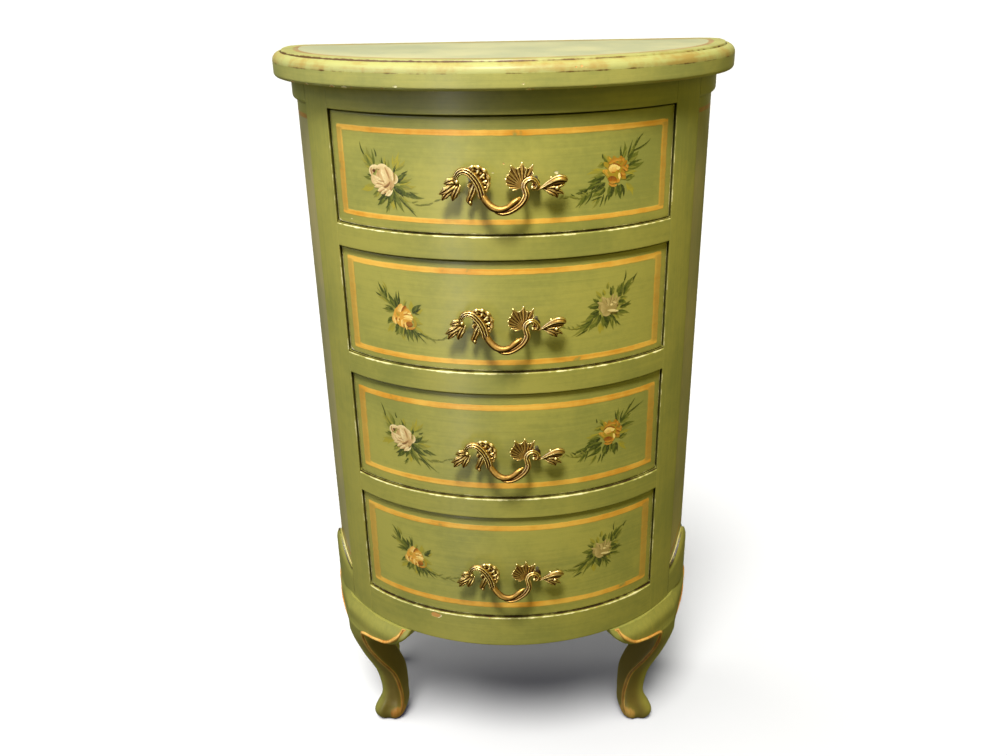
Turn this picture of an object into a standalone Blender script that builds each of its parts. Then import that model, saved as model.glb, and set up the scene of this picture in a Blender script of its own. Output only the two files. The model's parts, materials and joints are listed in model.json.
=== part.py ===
"""A demilune chest: four bow-fronted drawers in a painted carcass on cabriole legs, with cast brass pulls.

Metres, +Z up. The drawers open along -Y, and +X is to the right of someone who faces them.
The origin is on the floor, in the middle of the chest's width and depth.
"""

import math

import bmesh
import bpy
import numpy as np

# Plan of the carcass: half an ellipse, then a short straight side and the back post
BODY_HALF_WIDTH = 0.240
BOW_DEPTH = 0.202
SIDE_STRAIGHT = 0.006
POST_DEPTH = 0.022
POST_WIDTH = 0.024
STILE_SEAM = math.radians(60)  # from the middle of the front to the joint of stile and side panel
STILE_FACE = 0.029  # sideways extent of a front stile
FRAME_THICKNESS = 0.022  # stiles, bottom rail, side friezes and aprons
PANEL_RECESS = 0.0045
PANEL_THICKNESS = 0.010
BACK_PANEL_THICKNESS = 0.006
RAIL_END_DEPTH = 0.045  # a divider's depth at its ends; its back edge is straight

# Heights, from the floor up
LEG_HEIGHT = 0.210
BOTTOM_RAIL_HEIGHT = 0.041
OPENING_HEIGHTS = (0.119, 0.125, 0.132, 0.142)  # top drawer first
RAIL_HEIGHT = 0.025
FRIEZE_HEIGHT = 0.024
FRIEZE_COVE = 0.003
TOP_THICKNESS = 0.027
BOTTOM_BOARD_THICKNESS = 0.018

# Side apron: it stands proud of the carcass, and its lip rises to a low arch over the panel
APRON_PROUD = 0.0035
APRON_BEAD = 0.003
APRON_LIP_BASE = 0.004  # height of the lip's ends above the bottom rail's top
APRON_LIP_RISE = 0.030

# Top board
TOP_OVERHANG = 0.018
TOP_CORNER_RADIUS = 0.022
TOP_EDGE_ROUND = 0.004
TOP_MOULD_WIDTH = 0.009
TOP_MOULD_HEIGHT = 0.009
TOP_MOULD_STEP = 0.002

# Drawers
FRONT_RECESS = 0.004
FRONT_THICKNESS = 0.019
FRONT_SIDE_GAP = 0.0015
FRONT_TOP_GAP = 0.0018
FRONT_BOTTOM_GAP = 0.0012
BOX_SETBACK = 0.006  # from the end of the front to the outside of the box
BOX_SIDE_THICKNESS = 0.010
BOX_TOP_DROP = 0.012
BOX_BACK_THICKNESS = 0.010
BOX_BACK_GAP = 0.0012
BOTTOM_THICKNESS = 0.005
BOTTOM_RISE = 0.008
GROOVE_DEPTH = 0.005
RUNNER_THICKNESS = 0.016
RUNNER_INNER_MARGIN = 0.008  # how far a runner reaches inside the drawer's side
GUIDE_HEIGHT = 0.012
GUIDE_GAP = 0.0008

# Cabriole legs: heights of the stations from the floor, and what the leg measures there
SOLE_HALF = 0.0125
PAD_HEIGHT = 0.013
PAD_HALF = 0.0160
INSTEP_HEIGHT = 0.032
ANKLE_HEIGHT = 0.058
ANKLE_HALF = 0.0132
ANKLE_INSET = 0.038  # from the carcass face to the ankle's middle
ANKLE_FORWARD = 0.020  # along the bow, from the seam to the ankle's middle
FOOT_INSET = 0.033
FOOT_FORWARD = 0.013
SHIN_HEIGHT = 0.115
SHIN_HALF = 0.0185
KNEE_HALF = 0.0195
KNEE_PROUD = 0.010  # how far the knee stands out past the carcass face
EAR_DROP = 0.042  # from the carcass down to where the ears leave the shaft
EAR_FRONT = 0.107  # along the bow, from the seam to the tip of the front ear
EAR_SIDE = 0.100
BACK_FOOT_HALF = 0.010
BACK_KNEE_HALF = 0.0118
BACK_FOOT_INSET = 0.043  # from the knee's middle to the foot's middle

# Cast pulls: an S-shaped bail between leaf clusters, with a shell fan
PULL_WIDTH = 0.124
PULL_HEIGHT = 0.052
PULL_PROJECTION = 0.0254
PULL_DROP = 0.0065  # below the middle of the drawer
PULL_OFFSET = 0.002
BAIL_RADIUS = 0.0044
SHELL_THICKNESS = 0.004
PULL_POST_RADIUS = 0.0044
BOLT_RADIUS = 0.002
BOLT_REACH = 0.006  # into the pull's post
BOLT_HEAD_RADIUS = 0.0042
BOLT_HEAD_HEIGHT = 0.003

# Fits
SEAT_GAP = 0.0003  # between pieces that touch

# How finely the curves are cut
BOW_POINTS = 25
SIDE_POINTS = 9
ROUND_POINTS = 12
TUBE_SIDES = 8

# What follows from the sizes above
BACK_RUN = SIDE_STRAIGHT + POST_DEPTH
FRAME_TOP = (
    LEG_HEIGHT + BOTTOM_RAIL_HEIGHT + sum(OPENING_HEIGHTS) + 3 * RAIL_HEIGHT + FRIEZE_HEIGHT
)
FIRST_OPENING = LEG_HEIGHT + BOTTOM_RAIL_HEIGHT
OPENING_HALF = BODY_HALF_WIDTH * math.sin(STILE_SEAM) - STILE_FACE
FRONT_HALF = OPENING_HALF - FRONT_SIDE_GAP
BOX_HALF = FRONT_HALF - BOX_SETBACK
PULL_FRONT = BOW_DEPTH - FRONT_RECESS + PULL_PROJECTION
FRONT_REACH = max(PULL_FRONT, BOW_DEPTH + TOP_OVERHANG)
FRAME_Y = (FRONT_REACH - BACK_RUN) / 2  # puts the origin in the middle of the depth

# Paint, wood and metal
GREEN_PAINT = ("green_paint", (0.30, 0.34, 0.13), 0.45, 0.0)
PLAIN_WOOD = ("plain_wood", (0.42, 0.27, 0.14), 0.7, 0.0)
BRASS = ("antique_brass", (0.45, 0.32, 0.12), 0.35, 1.0)
STEEL = ("bolt_steel", (0.4, 0.4, 0.4), 0.4, 1.0)


def material(finish):
    """The Principled material of a finish, made once."""
    name, colour, roughness, metallic = finish
    made = bpy.data.materials.get(name)
    if made is None:
        made = bpy.data.materials.new(name)
        made.use_nodes = True
        shader = made.node_tree.nodes["Principled BSDF"]
        shader.inputs["Base Color"].default_value = (*colour, 1)
        shader.inputs["Roughness"].default_value = roughness
        shader.inputs["Metallic"].default_value = metallic
    return made


def add_empty(name, parent, location):
    empty = bpy.data.objects.new(name, None)
    bpy.context.scene.collection.objects.link(empty)
    empty.parent = parent
    empty.location = location
    return empty


def add_piece(name, mesh, finish, parent, location=(0, 0, 0)):
    piece = bpy.data.objects.new(name, mesh)
    bpy.context.scene.collection.objects.link(piece)
    piece.parent = parent
    piece.location = location
    if not mesh.materials:
        mesh.materials.append(material(finish))
    return piece


def cut(piece, cutter, operation="DIFFERENCE", solver="EXACT"):
    """Takes a helper object away from a piece, or joins it on, by a live modifier."""
    cutter.hide_render = True
    cutter.display_type = "WIRE"
    modifier = piece.modifiers.new(cutter.name, "BOOLEAN")
    modifier.operation = operation
    modifier.solver = solver
    modifier.object = cutter


def loft(rings):
    """Closed mesh through rings of equally many points, with a cap on the first and the last."""
    shape = bmesh.new()
    loops = [[shape.verts.new(point) for point in ring] for ring in rings]
    for lower, upper in zip(loops, loops[1:]):
        for i in range(len(lower)):
            j = (i + 1) % len(lower)
            shape.faces.new((lower[i], lower[j], upper[j], upper[i]))
    shape.faces.new(loops[0][::-1])
    shape.faces.new(loops[-1])
    bmesh.ops.recalc_face_normals(shape, faces=shape.faces)
    mesh = bpy.data.meshes.new("loft")
    shape.to_mesh(mesh)
    shape.free()
    mesh.shade_smooth()
    mesh.set_sharp_from_angle(angle=math.radians(30))
    return mesh


def prism(outline, low, high):
    """Upright solid of a plan outline between two heights."""
    return loft([[(x, y, z) for x, y in outline] for z in (low, high)])


def block(low, high):
    """Box between two corners."""
    outline = [(low[0], low[1]), (high[0], low[1]), (high[0], high[1]), (low[0], high[1])]
    return prism(outline, low[2], high[2])


def rod(radius, start, end):
    """Round bar along Y."""
    turns = np.linspace(0, math.tau, ROUND_POINTS, endpoint=False)
    return loft(
        [[(radius * math.cos(t), y, radius * math.sin(t)) for t in turns] for y in (start, end)]
    )


def bow(angle, inset):
    """Plan point of the carcass curve, moved in by the inset, at an angle from the middle of the front."""
    return (
        (BODY_HALF_WIDTH - inset) * math.sin(angle),
        -(BOW_DEPTH - inset) * math.cos(angle),
    )


def bow_y(x, inset):
    """Depth of the carcass curve, moved in by the inset, at a distance x from the middle."""
    return -(BOW_DEPTH - inset) * math.sqrt(1 - (x / (BODY_HALF_WIDTH - inset)) ** 2)


def bow_run(half, inset):
    """Plan points of the front curve from left to right, cut off at the half width."""
    return [(x, bow_y(x, inset)) for x in np.linspace(-half, half, BOW_POINTS)]


def side_run(inset):
    """Plan points of the right side from the stile to the back post, with each one's share of the way."""
    start = STILE_SEAM + SEAT_GAP / BOW_DEPTH
    angles = np.linspace(start, math.pi / 2, SIDE_POINTS)
    shares = np.append((angles - start) / (math.pi / 2 - start), 1.0)
    points = [bow(angle, inset) for angle in angles]
    points.append((BODY_HALF_WIDTH - inset, SIDE_STRAIGHT - SEAT_GAP))
    return points, shares


def side_sweep(profile, hand):
    """Side piece whose section, a function of the share of the way, lists insets and heights."""
    rings = []
    for i, share in enumerate(side_run(0)[1]):
        ring = []
        for inset, z in profile(share):
            x, y = side_run(inset)[0][i]
            ring.append((hand * x, y, z))
        rings.append(ring)
    return loft(rings)


def top_outline(inset):
    """Plan of the top board, moved in by the inset at the front and sides but not at the back."""
    half = BODY_HALF_WIDTH + TOP_OVERHANG - inset
    depth = BOW_DEPTH + TOP_OVERHANG - inset
    radius = min(TOP_CORNER_RADIUS, BACK_RUN)
    angles = np.linspace(-math.pi / 2, math.pi / 2, 2 * BOW_POINTS - 1)
    front = [(half * math.sin(a), -depth * math.cos(a)) for a in angles]
    turns = np.linspace(0, math.pi / 2, 6)
    right = [
        (half - radius * (1 - math.cos(t)), BACK_RUN - radius * (1 - math.sin(t))) for t in turns
    ]
    left = [(-x, y) for x, y in reversed(right)]
    return left + front + right


def add_top(root):
    """Top board: a rounded lower edge, an upright band, then a quarter-round mould and a small step."""
    rings = [(TOP_EDGE_ROUND, 0), (TOP_EDGE_ROUND * 0.3, TOP_EDGE_ROUND * 0.3), (0, TOP_EDGE_ROUND)]
    band = TOP_THICKNESS - TOP_MOULD_STEP - TOP_MOULD_HEIGHT
    for turn in np.linspace(0, math.pi / 2, 5):
        rings.append(
            (TOP_MOULD_WIDTH * (1 - math.cos(turn)), band + TOP_MOULD_HEIGHT * math.sin(turn))
        )
    rings.append((TOP_MOULD_WIDTH + TOP_MOULD_STEP / 4, TOP_THICKNESS))
    mesh = loft([[(x, y, FRAME_TOP + z) for x, y in top_outline(i)] for i, z in rings])
    add_piece("top", mesh, GREEN_PAINT, root)


def divider_outline():
    """Plan of a rail between drawers: bowed in front, straight behind."""
    half = OPENING_HALF - SEAT_GAP
    back = bow_y(half, 0) + RAIL_END_DEPTH
    return bow_run(half, 0) + [(half, back), (-half, back)]


def openings():
    """Bottom height of each drawer opening, top drawer first."""
    low = FRAME_TOP - FRIEZE_HEIGHT
    found = []
    for height in OPENING_HEIGHTS:
        low -= height
        found.append(low)
        low -= RAIL_HEIGHT
    return found


def add_rails(root):
    frieze = FRAME_TOP - FRIEZE_HEIGHT
    mesh = prism(divider_outline(), frieze, FRAME_TOP - SEAT_GAP)
    add_piece("frieze_rail", mesh, GREEN_PAINT, root)
    for i, low in enumerate(openings()[:-1], 1):
        mesh = prism(divider_outline(), low - RAIL_HEIGHT, low)
        add_piece(f"drawer_divider_{i}", mesh, GREEN_PAINT, root)
    half = OPENING_HALF - SEAT_GAP
    outline = bow_run(half, 0) + bow_run(half, FRAME_THICKNESS)[::-1]
    add_piece("bottom_rail", prism(outline, LEG_HEIGHT, FIRST_OPENING), GREEN_PAINT, root)


def add_uprights(root, side, hand):
    """Front stile and back post of one side."""
    first = math.asin(OPENING_HALF / BODY_HALF_WIDTH)
    outline = [bow(angle, 0) for angle in np.linspace(first, STILE_SEAM, 6)]
    outline.append(bow(STILE_SEAM, FRAME_THICKNESS))
    outline.append((OPENING_HALF, bow_y(OPENING_HALF, FRAME_THICKNESS)))
    outline = [(hand * x, y) for x, y in outline]
    high = FRAME_TOP - SEAT_GAP
    add_piece(f"front_stile_{side}", prism(outline, LEG_HEIGHT, high), GREEN_PAINT, root)
    near, far = sorted((hand * (BODY_HALF_WIDTH - POST_WIDTH), hand * BODY_HALF_WIDTH))
    mesh = block((near, SIDE_STRAIGHT, LEG_HEIGHT), (far, BACK_RUN, high))
    add_piece(f"back_post_{side}", mesh, GREEN_PAINT, root)


def add_side(root, side, hand):
    """Frieze, recessed panel and apron between the stile and the post of one side."""
    frieze = FRAME_TOP - FRIEZE_HEIGHT
    high = FRAME_TOP - SEAT_GAP

    def frieze_section(_share):
        return [
            (0, high),
            (0, frieze + FRIEZE_COVE),
            (FRIEZE_COVE, frieze),
            (FRAME_THICKNESS, frieze),
            (FRAME_THICKNESS, high),
        ]

    def panel_section(_share):
        inner = PANEL_RECESS + PANEL_THICKNESS
        low = FIRST_OPENING + SEAT_GAP
        upper = frieze - SEAT_GAP
        return [(PANEL_RECESS, low), (inner, low), (inner, upper), (PANEL_RECESS, upper)]

    def apron_section(share):
        lip = FIRST_OPENING + APRON_LIP_BASE + APRON_LIP_RISE * math.sin(math.pi * share) ** 2
        behind = PANEL_RECESS - SEAT_GAP
        return [
            (-APRON_PROUD, LEG_HEIGHT),
            (-APRON_PROUD, lip - APRON_BEAD),
            (-APRON_PROUD / 2, lip),
            (behind, lip),
            (behind, FIRST_OPENING),
            (FRAME_THICKNESS, FIRST_OPENING),
            (FRAME_THICKNESS, LEG_HEIGHT),
        ]

    for name, section in (
        ("side_frieze", frieze_section),
        ("side_panel", panel_section),
        ("side_apron", apron_section),
    ):
        add_piece(f"{name}_{side}", side_sweep(section, hand), GREEN_PAINT, root)


def add_back_and_bottom(root):
    half = BODY_HALF_WIDTH - POST_WIDTH - SEAT_GAP
    inner = BACK_RUN - BACK_PANEL_THICKNESS
    mesh = block((-half, inner, LEG_HEIGHT), (half, BACK_RUN, FRAME_TOP - SEAT_GAP))
    add_piece("back_panel", mesh, PLAIN_WOOD, root)
    inset = max(FRAME_THICKNESS, POST_WIDTH) + SEAT_GAP
    angles = np.linspace(-math.pi / 2, math.pi / 2, BOW_POINTS)
    outline = [bow(angle, inset) for angle in angles]
    back = inner - SEAT_GAP
    outline += [(BODY_HALF_WIDTH - inset, back), (inset - BODY_HALF_WIDTH, back)]
    mesh = prism(outline, FIRST_OPENING - BOTTOM_BOARD_THICKNESS, FIRST_OPENING)
    add_piece("bottom_board", mesh, PLAIN_WOOD, root)


def smooth_rows(rows, steps):
    """Rows of numbers passed through smoothly, with extra rows between them (Catmull-Rom)."""
    rows = np.array(rows, float)
    padded = np.vstack([2 * rows[0] - rows[1], rows, 2 * rows[-1] - rows[-2]])
    out = []
    for i in range(len(rows) - 1):
        before, start, end, after = padded[i : i + 4]
        for t in np.arange(steps) / steps:
            out.append(
                start
                + 0.5 * t * (end - before)
                + t * t * (before - 2.5 * start + 2 * end - 0.5 * after)
                + t**3 * (1.5 * (start - end) + 0.5 * (after - before))
            )
    return out + [rows[-1]]


def squircle(count):
    """Points of a square with rounded corners, from -1 to 1 each way."""
    turns = np.linspace(0, math.tau, count, endpoint=False) + math.tau / (2 * count)
    spread = np.abs(np.stack([np.cos(turns), np.sin(turns)])) ** 0.55
    return list(zip(*(spread * np.sign([np.cos(turns), np.sin(turns)]))))


def front_leg_stations():
    """Height, shift along the bow, inset, half depth, front reach and side reach, from the sole up."""
    knee = LEG_HEIGHT - EAR_DROP
    rows = []

    def station(height, shift, inset, depth, front=None, along=None):
        rows.append((height, shift, inset, depth, front or depth, along or depth))

    station(0, FOOT_FORWARD, FOOT_INSET, SOLE_HALF)
    station(PAD_HEIGHT, FOOT_FORWARD, FOOT_INSET, PAD_HALF)
    station(
        INSTEP_HEIGHT,
        (FOOT_FORWARD + ANKLE_FORWARD) / 2,
        (FOOT_INSET + ANKLE_INSET) / 2,
        (PAD_HALF + ANKLE_HALF) / 2,
    )
    station(ANKLE_HEIGHT, ANKLE_FORWARD, ANKLE_INSET, ANKLE_HALF)
    low_shin = (ANKLE_HEIGHT + SHIN_HEIGHT) / 2
    station(low_shin, ANKLE_FORWARD * 0.9, ANKLE_INSET * 0.93, ANKLE_HALF * 1.1)
    station(SHIN_HEIGHT, ANKLE_FORWARD * 0.6, ANKLE_INSET * 0.66, SHIN_HALF)
    calf = (SHIN_HEIGHT + knee) / 2
    width = KNEE_HALF * 1.25
    station(calf, ANKLE_FORWARD * 0.25, KNEE_HALF - KNEE_PROUD * 0.55, KNEE_HALF, width, width)

    # The ears: from the knee up, the leg spreads along both rails
    half = (FRAME_THICKNESS + KNEE_PROUD) / 2
    for rise, spread in ((0.0, 0.3), (0.3, 0.78), (0.65, 0.93)):
        height = knee + EAR_DROP * rise
        station(height, 0, half - KNEE_PROUD, half, EAR_FRONT * spread, EAR_SIDE * spread)
    half = (FRAME_THICKNESS + APRON_PROUD) / 2
    station(LEG_HEIGHT - SEAT_GAP, 0, half - APRON_PROUD, half, EAR_FRONT, EAR_SIDE)
    return rows


def add_front_leg(root, side, hand):
    """Cabriole leg under the seam of stile and side panel, with an ear along each rail."""
    tangent = math.hypot(BODY_HALF_WIDTH * math.cos(STILE_SEAM), BOW_DEPTH * math.sin(STILE_SEAM))
    rings = []
    for height, shift, inset, depth, front, along in smooth_rows(front_leg_stations(), 2):
        ring = []
        for across, inward in squircle(24):
            reach = shift + across * (front if across > 0 else along)
            x, y = bow(STILE_SEAM - reach / tangent, inset + inward * depth)
            ring.append((hand * x, y, height))
        rings.append(ring)
    add_piece(f"front_leg_{side}", loft(rings), GREEN_PAINT, root)


def add_back_leg(root, side, hand):
    """Plain leg under the back post, swept in towards its foot."""
    knee_x = BODY_HALF_WIDTH - POST_WIDTH / 2
    middle = SIDE_STRAIGHT + POST_DEPTH / 2
    waist = (BACK_FOOT_HALF + BACK_KNEE_HALF) / 2
    stations = [
        (0, knee_x - BACK_FOOT_INSET, BACK_FOOT_HALF),
        (PAD_HEIGHT, knee_x - BACK_FOOT_INSET, BACK_FOOT_HALF),
        (ANKLE_HEIGHT, knee_x - BACK_FOOT_INSET, BACK_FOOT_HALF * 0.9),
        (SHIN_HEIGHT, knee_x - BACK_FOOT_INSET * 0.55, waist),
        (LEG_HEIGHT - EAR_DROP, knee_x - BACK_FOOT_INSET * 0.08, BACK_KNEE_HALF),
        (LEG_HEIGHT - SEAT_GAP, knee_x, min(POST_WIDTH, POST_DEPTH) / 2),
    ]
    rings = [
        [(hand * (x + half * u), middle + half * v, height) for u, v in squircle(16)]
        for height, x, half in smooth_rows(stations, 2)
    ]
    add_piece(f"back_leg_{side}", loft(rings), GREEN_PAINT, root)


def add_runners(root, number, low):
    """Runners of an upper drawer: level with its divider, with a guide beside the drawer."""
    start = bow_y(OPENING_HALF - SEAT_GAP, 0) + RAIL_END_DEPTH + SEAT_GAP
    end = BACK_RUN - BACK_PANEL_THICKNESS - SEAT_GAP
    inner = BOX_HALF - BOX_SIDE_THICKNESS - RUNNER_INNER_MARGIN
    guide = BOX_HALF + GUIDE_GAP
    outer = OPENING_HALF - SEAT_GAP
    section = [
        (inner, low - RUNNER_THICKNESS),
        (outer, low - RUNNER_THICKNESS),
        (outer, low + GUIDE_HEIGHT),
        (guide, low + GUIDE_HEIGHT),
        (guide, low),
        (inner, low),
    ]
    for side, hand in SIDES:
        mesh = loft([[(hand * x, y, z) for x, z in section] for y in (start, end)])
        add_piece(f"runner_{number}_{side}", mesh, PLAIN_WOOD, root)


def bottom_outline(grow):
    """Plan of a drawer's bottom, in its grooves, grown by a clearance."""
    half = BOX_HALF - BOX_SIDE_THICKNESS + GROOVE_DEPTH + grow
    inset = FRONT_RECESS + FRONT_THICKNESS - GROOVE_DEPTH - grow
    back = BACK_RUN - BACK_PANEL_THICKNESS - BOX_BACK_GAP
    return bow_run(half, inset) + [(half, back + grow), (-half, back + grow)]


def box_side_outline(hand):
    """Plan of a drawer's side, its front end cut to the bow of the drawer front."""
    inset = FRONT_RECESS + FRONT_THICKNESS + SEAT_GAP
    back = BACK_RUN - BACK_PANEL_THICKNESS - BOX_BACK_GAP
    inner = BOX_HALF - BOX_SIDE_THICKNESS
    outline = [(x, bow_y(x, inset)) for x in np.linspace(inner, BOX_HALF, 4)]
    outline += [(BOX_HALF, back), (inner, back)]
    return [(hand * x, y) for x, y in outline]


def add_drawer(root, number, low, height, pull):
    """One drawer on its own empty, with its front, box, pull and bolts."""
    slide = add_empty(f"drawer_{number}_slide", root, (0, 0, low))
    name = f"drawer_{number}"
    outline = bow_run(FRONT_HALF, FRONT_RECESS)
    outline += bow_run(FRONT_HALF, FRONT_RECESS + FRONT_THICKNESS)[::-1]
    mesh = prism(outline, FRONT_BOTTOM_GAP, height - FRONT_TOP_GAP)
    front = add_piece(f"{name}_front", mesh, GREEN_PAINT, slide)

    floor = BOTTOM_RISE
    groove_mesh = prism(bottom_outline(SEAT_GAP), floor - SEAT_GAP, floor + BOTTOM_THICKNESS + SEAT_GAP)
    groove = add_piece(f"{name}_groove", groove_mesh, PLAIN_WOOD, slide)
    cut(front, groove)
    box_top = height - FRONT_TOP_GAP - BOX_TOP_DROP
    for side, hand in SIDES:
        mesh = prism(box_side_outline(hand), SEAT_GAP, box_top)
        cut(add_piece(f"{name}_side_{side}", mesh, PLAIN_WOOD, slide), groove)
    mesh = prism(bottom_outline(0), floor, floor + BOTTOM_THICKNESS)
    add_piece(f"{name}_bottom", mesh, PLAIN_WOOD, slide)
    half = BOX_HALF - BOX_SIDE_THICKNESS - SEAT_GAP
    back = BACK_RUN - BACK_PANEL_THICKNESS - BOX_BACK_GAP
    mesh = block(
        (-half, back - BOX_BACK_THICKNESS, floor + BOTTOM_THICKNESS + SEAT_GAP),
        (half, back, box_top),
    )
    add_piece(f"{name}_back", mesh, PLAIN_WOOD, slide)

    middle = height / 2 - PULL_DROP
    add_piece(f"pull_{number}", pull, BRASS, slide, (PULL_OFFSET, FRONT_RECESS - BOW_DEPTH, middle))
    for side, hand in SIDES:
        x = PULL_OFFSET + hand * PULL_POST_SHARE * PULL_WIDTH / 2
        z = middle + PULL_POST_RISE * PULL_HEIGHT / 2
        face = bow_y(abs(x), FRONT_RECESS)
        inside = bow_y(abs(x) + BOLT_HEAD_RADIUS, FRONT_RECESS + FRONT_THICKNESS) + SEAT_GAP
        shank = (face - BOLT_REACH, inside)
        hole = add_piece(
            f"{name}_hole_{side}",
            rod(BOLT_RADIUS + SEAT_GAP, shank[0], inside + BOLT_HEAD_HEIGHT),
            STEEL,
            slide,
            (x, 0, z),
        )
        cut(front, hole)
        add_piece(f"pull_{number}_bolt_{side}", bolt_mesh(*shank), STEEL, slide, (x, 0, z))


def bolt_mesh(tip, inside):
    """Bolt along Y from its tip to the head inside the drawer."""
    turns = np.linspace(0, math.tau, ROUND_POINTS, endpoint=False)
    steps = [
        (BOLT_RADIUS, tip),
        (BOLT_RADIUS, inside),
        (BOLT_HEAD_RADIUS, inside),
        (BOLT_HEAD_RADIUS * 0.8, inside + BOLT_HEAD_HEIGHT),
    ]
    return loft([[(r * math.cos(t), y, r * math.sin(t)) for t in turns] for r, y in steps])


# The pull's pieces, as shares of its half width, its half height, its projection and the bail's radius
PULL_POST_SHARE = 0.52
PULL_POST_RISE = 0.20
LEAF_OUT = 0.36
PULL_BAIL = [
    (-0.71, 0.27, 0.38, 0.7),
    (-0.69, 0.56, 0.42, 1.0),
    (-0.58, 0.76, 0.46, 1.15),
    (-0.45, 0.60, 0.50, 1.1),
    (-0.38, 0.18, 0.54, 1.0),
    (-0.32, -0.25, 0.64, 0.95),
    (-0.19, -0.63, 0.77, 0.95),
    (0.00, -0.80, 0.827, 1.0),
    (0.18, -0.70, 0.77, 0.95),
    (0.31, -0.38, 0.64, 0.9),
    (0.36, 0.00, 0.52, 0.9),
    (0.44, 0.26, 0.40, 0.9),
    (0.53, 0.20, 0.34, 0.8),
]
PULL_LEAVES = {
    "left_leaf": [
        (-0.64, 0.45, 0.36, 0.8),
        (-0.78, 0.12, 0.36, 1.7),
        (-0.90, -0.14, 0.34, 1.4),
        (-0.985, -0.26, 0.32, 0.4),
    ],
    "drop_leaf": [(-0.54, 0.55, 0.36, 0.7), (-0.51, 0.05, 0.34, 1.0), (-0.52, -0.52, 0.32, 0.35)],
    "rosette": [(-0.42, 0.50, 0.42, 0.6), (-0.31, 0.58, 0.40, 1.25), (-0.20, 0.56, 0.38, 0.5)],
    "right_leaf": [
        (0.44, 0.24, 0.34, 0.7),
        (0.60, 0.02, 0.34, 1.15),
        (0.76, 0.02, 0.34, 1.45),
        (0.90, 0.20, 0.34, 1.0),
        (0.985, 0.30, 0.34, 0.4),
    ],
}
SHELL_BASE = (0.33, 0.0)
SHELL_FINGERS = [(155, 0.72), (120, 0.98), (92, 0.98), (66, 0.93), (42, 0.68)]  # degrees, length share
SHELL_NOTCH = 0.74  # how far out the notches between fingers lie, as a share of their length
SHELL_FOOT = 0.12  # half width of the fan's foot


def pull_point(across, up, out):
    return np.array([across * PULL_WIDTH / 2, -out * PULL_PROJECTION, up * PULL_HEIGHT / 2])


def tube(stations, steps):
    """Round bar of changing thickness through stations of the pull."""
    rows = smooth_rows(stations, steps)
    points = [pull_point(*row[:3]) for row in rows]
    rings = []
    for i, row in enumerate(rows):
        along = points[min(i + 1, len(rows) - 1)] - points[max(i - 1, 0)]
        along /= np.linalg.norm(along)
        side = np.cross(along, (0, 1, 0))
        side /= np.linalg.norm(side)
        other = np.cross(side, along)
        turns = np.linspace(0, math.tau, TUBE_SIDES, endpoint=False)
        radius = row[3] * BAIL_RADIUS
        rings.append(
            [points[i] + radius * (math.cos(t) * side + math.sin(t) * other) for t in turns]
        )
    return loft(rings)


def shell_mesh():
    """Fan of fingers as a plate, from its base up and out."""
    x, back, z = pull_point(*SHELL_BASE, LEAF_OUT)
    unit = PULL_HEIGHT / 2
    outline = SHELL_FINGERS[:1]
    for (turn_a, length_a), (turn_b, length_b) in zip(SHELL_FINGERS, SHELL_FINGERS[1:]):
        outline.append(((turn_a + turn_b) / 2, SHELL_NOTCH * (length_a + length_b) / 2))
        outline.append((turn_b, length_b))
    foot = SHELL_FOOT * unit
    plan = []
    for degrees, length in outline:
        turn = math.radians(degrees)
        plan.append((x + length * unit * math.cos(turn), z + length * unit * math.sin(turn)))
    plan += [(x + foot, z - foot), (x - foot, z - foot)]
    return loft([[(u, y, w) for u, w in plan] for y in (back, back - SHELL_THICKNESS)])


def pull_mesh(root):
    """The whole pull as one casting, with its posts bored for the bolts."""
    pull = add_piece("pull_casting", tube(PULL_BAIL, 2), BRASS, root)
    helpers = []

    def apply(name, mesh, operation, place=(0, 0, 0)):
        helpers.append(add_piece(name, mesh, BRASS, root, place))
        cut(pull, helpers[-1], operation, "MANIFOLD")

    for name, stations in PULL_LEAVES.items():
        apply(name, tube(stations, 2), "UNION")
    apply("shell", shell_mesh(), "UNION")
    middle_face = FRONT_RECESS - BOW_DEPTH
    for side, hand in SIDES:
        place = pull_point(hand * PULL_POST_SHARE, PULL_POST_RISE, 0)
        x = abs(PULL_OFFSET + place[0])
        seat = bow_y(x - PULL_POST_RADIUS, FRONT_RECESS) - middle_face - SEAT_GAP
        post = rod(PULL_POST_RADIUS, -LEAF_OUT * PULL_PROJECTION, seat)
        apply(f"post_{side}", post, "UNION", place)
        tip = bow_y(x, FRONT_RECESS) - middle_face - BOLT_REACH
        bore = rod(BOLT_RADIUS + SEAT_GAP, tip - SEAT_GAP, PULL_PROJECTION)
        apply(f"bore_{side}", bore, "DIFFERENCE", place)
    bpy.context.view_layer.update()
    made = bpy.data.meshes.new_from_object(pull.evaluated_get(bpy.context.evaluated_depsgraph_get()))
    for helper in [pull, *helpers]:
        bpy.data.objects.remove(helper)
    return made


SIDES = (("left", -1), ("right", 1))


def main():
    for old in list(bpy.data.objects):
        bpy.data.objects.remove(old)
    root = add_empty("chest", None, (0, FRAME_Y, 0))
    add_top(root)
    add_rails(root)
    for side, hand in SIDES:
        add_uprights(root, side, hand)
        add_side(root, side, hand)
        add_front_leg(root, side, hand)
        add_back_leg(root, side, hand)
    add_back_and_bottom(root)
    pull = pull_mesh(root)
    for number, (low, height) in enumerate(zip(openings(), OPENING_HEIGHTS), 1):
        if number < len(OPENING_HEIGHTS):
            add_runners(root, number, low)
        add_drawer(root, number, low, height, pull)


main()
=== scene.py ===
# %% [markdown]
# # A painted demilune chest of drawers
# The chest stands on four short legs, and its front is half an ellipse in plan. Four bowed
# drawers sit between rails, and everything that shows is brushed with an old olive-green paint,
# lined in gold and set with sprays of roses. The pulls are brass castings.
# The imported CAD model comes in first. It fixes where every piece is, and each new surface
# below is worked out in the same metres, so nothing has to be fitted afterwards.

import json
import math

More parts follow.
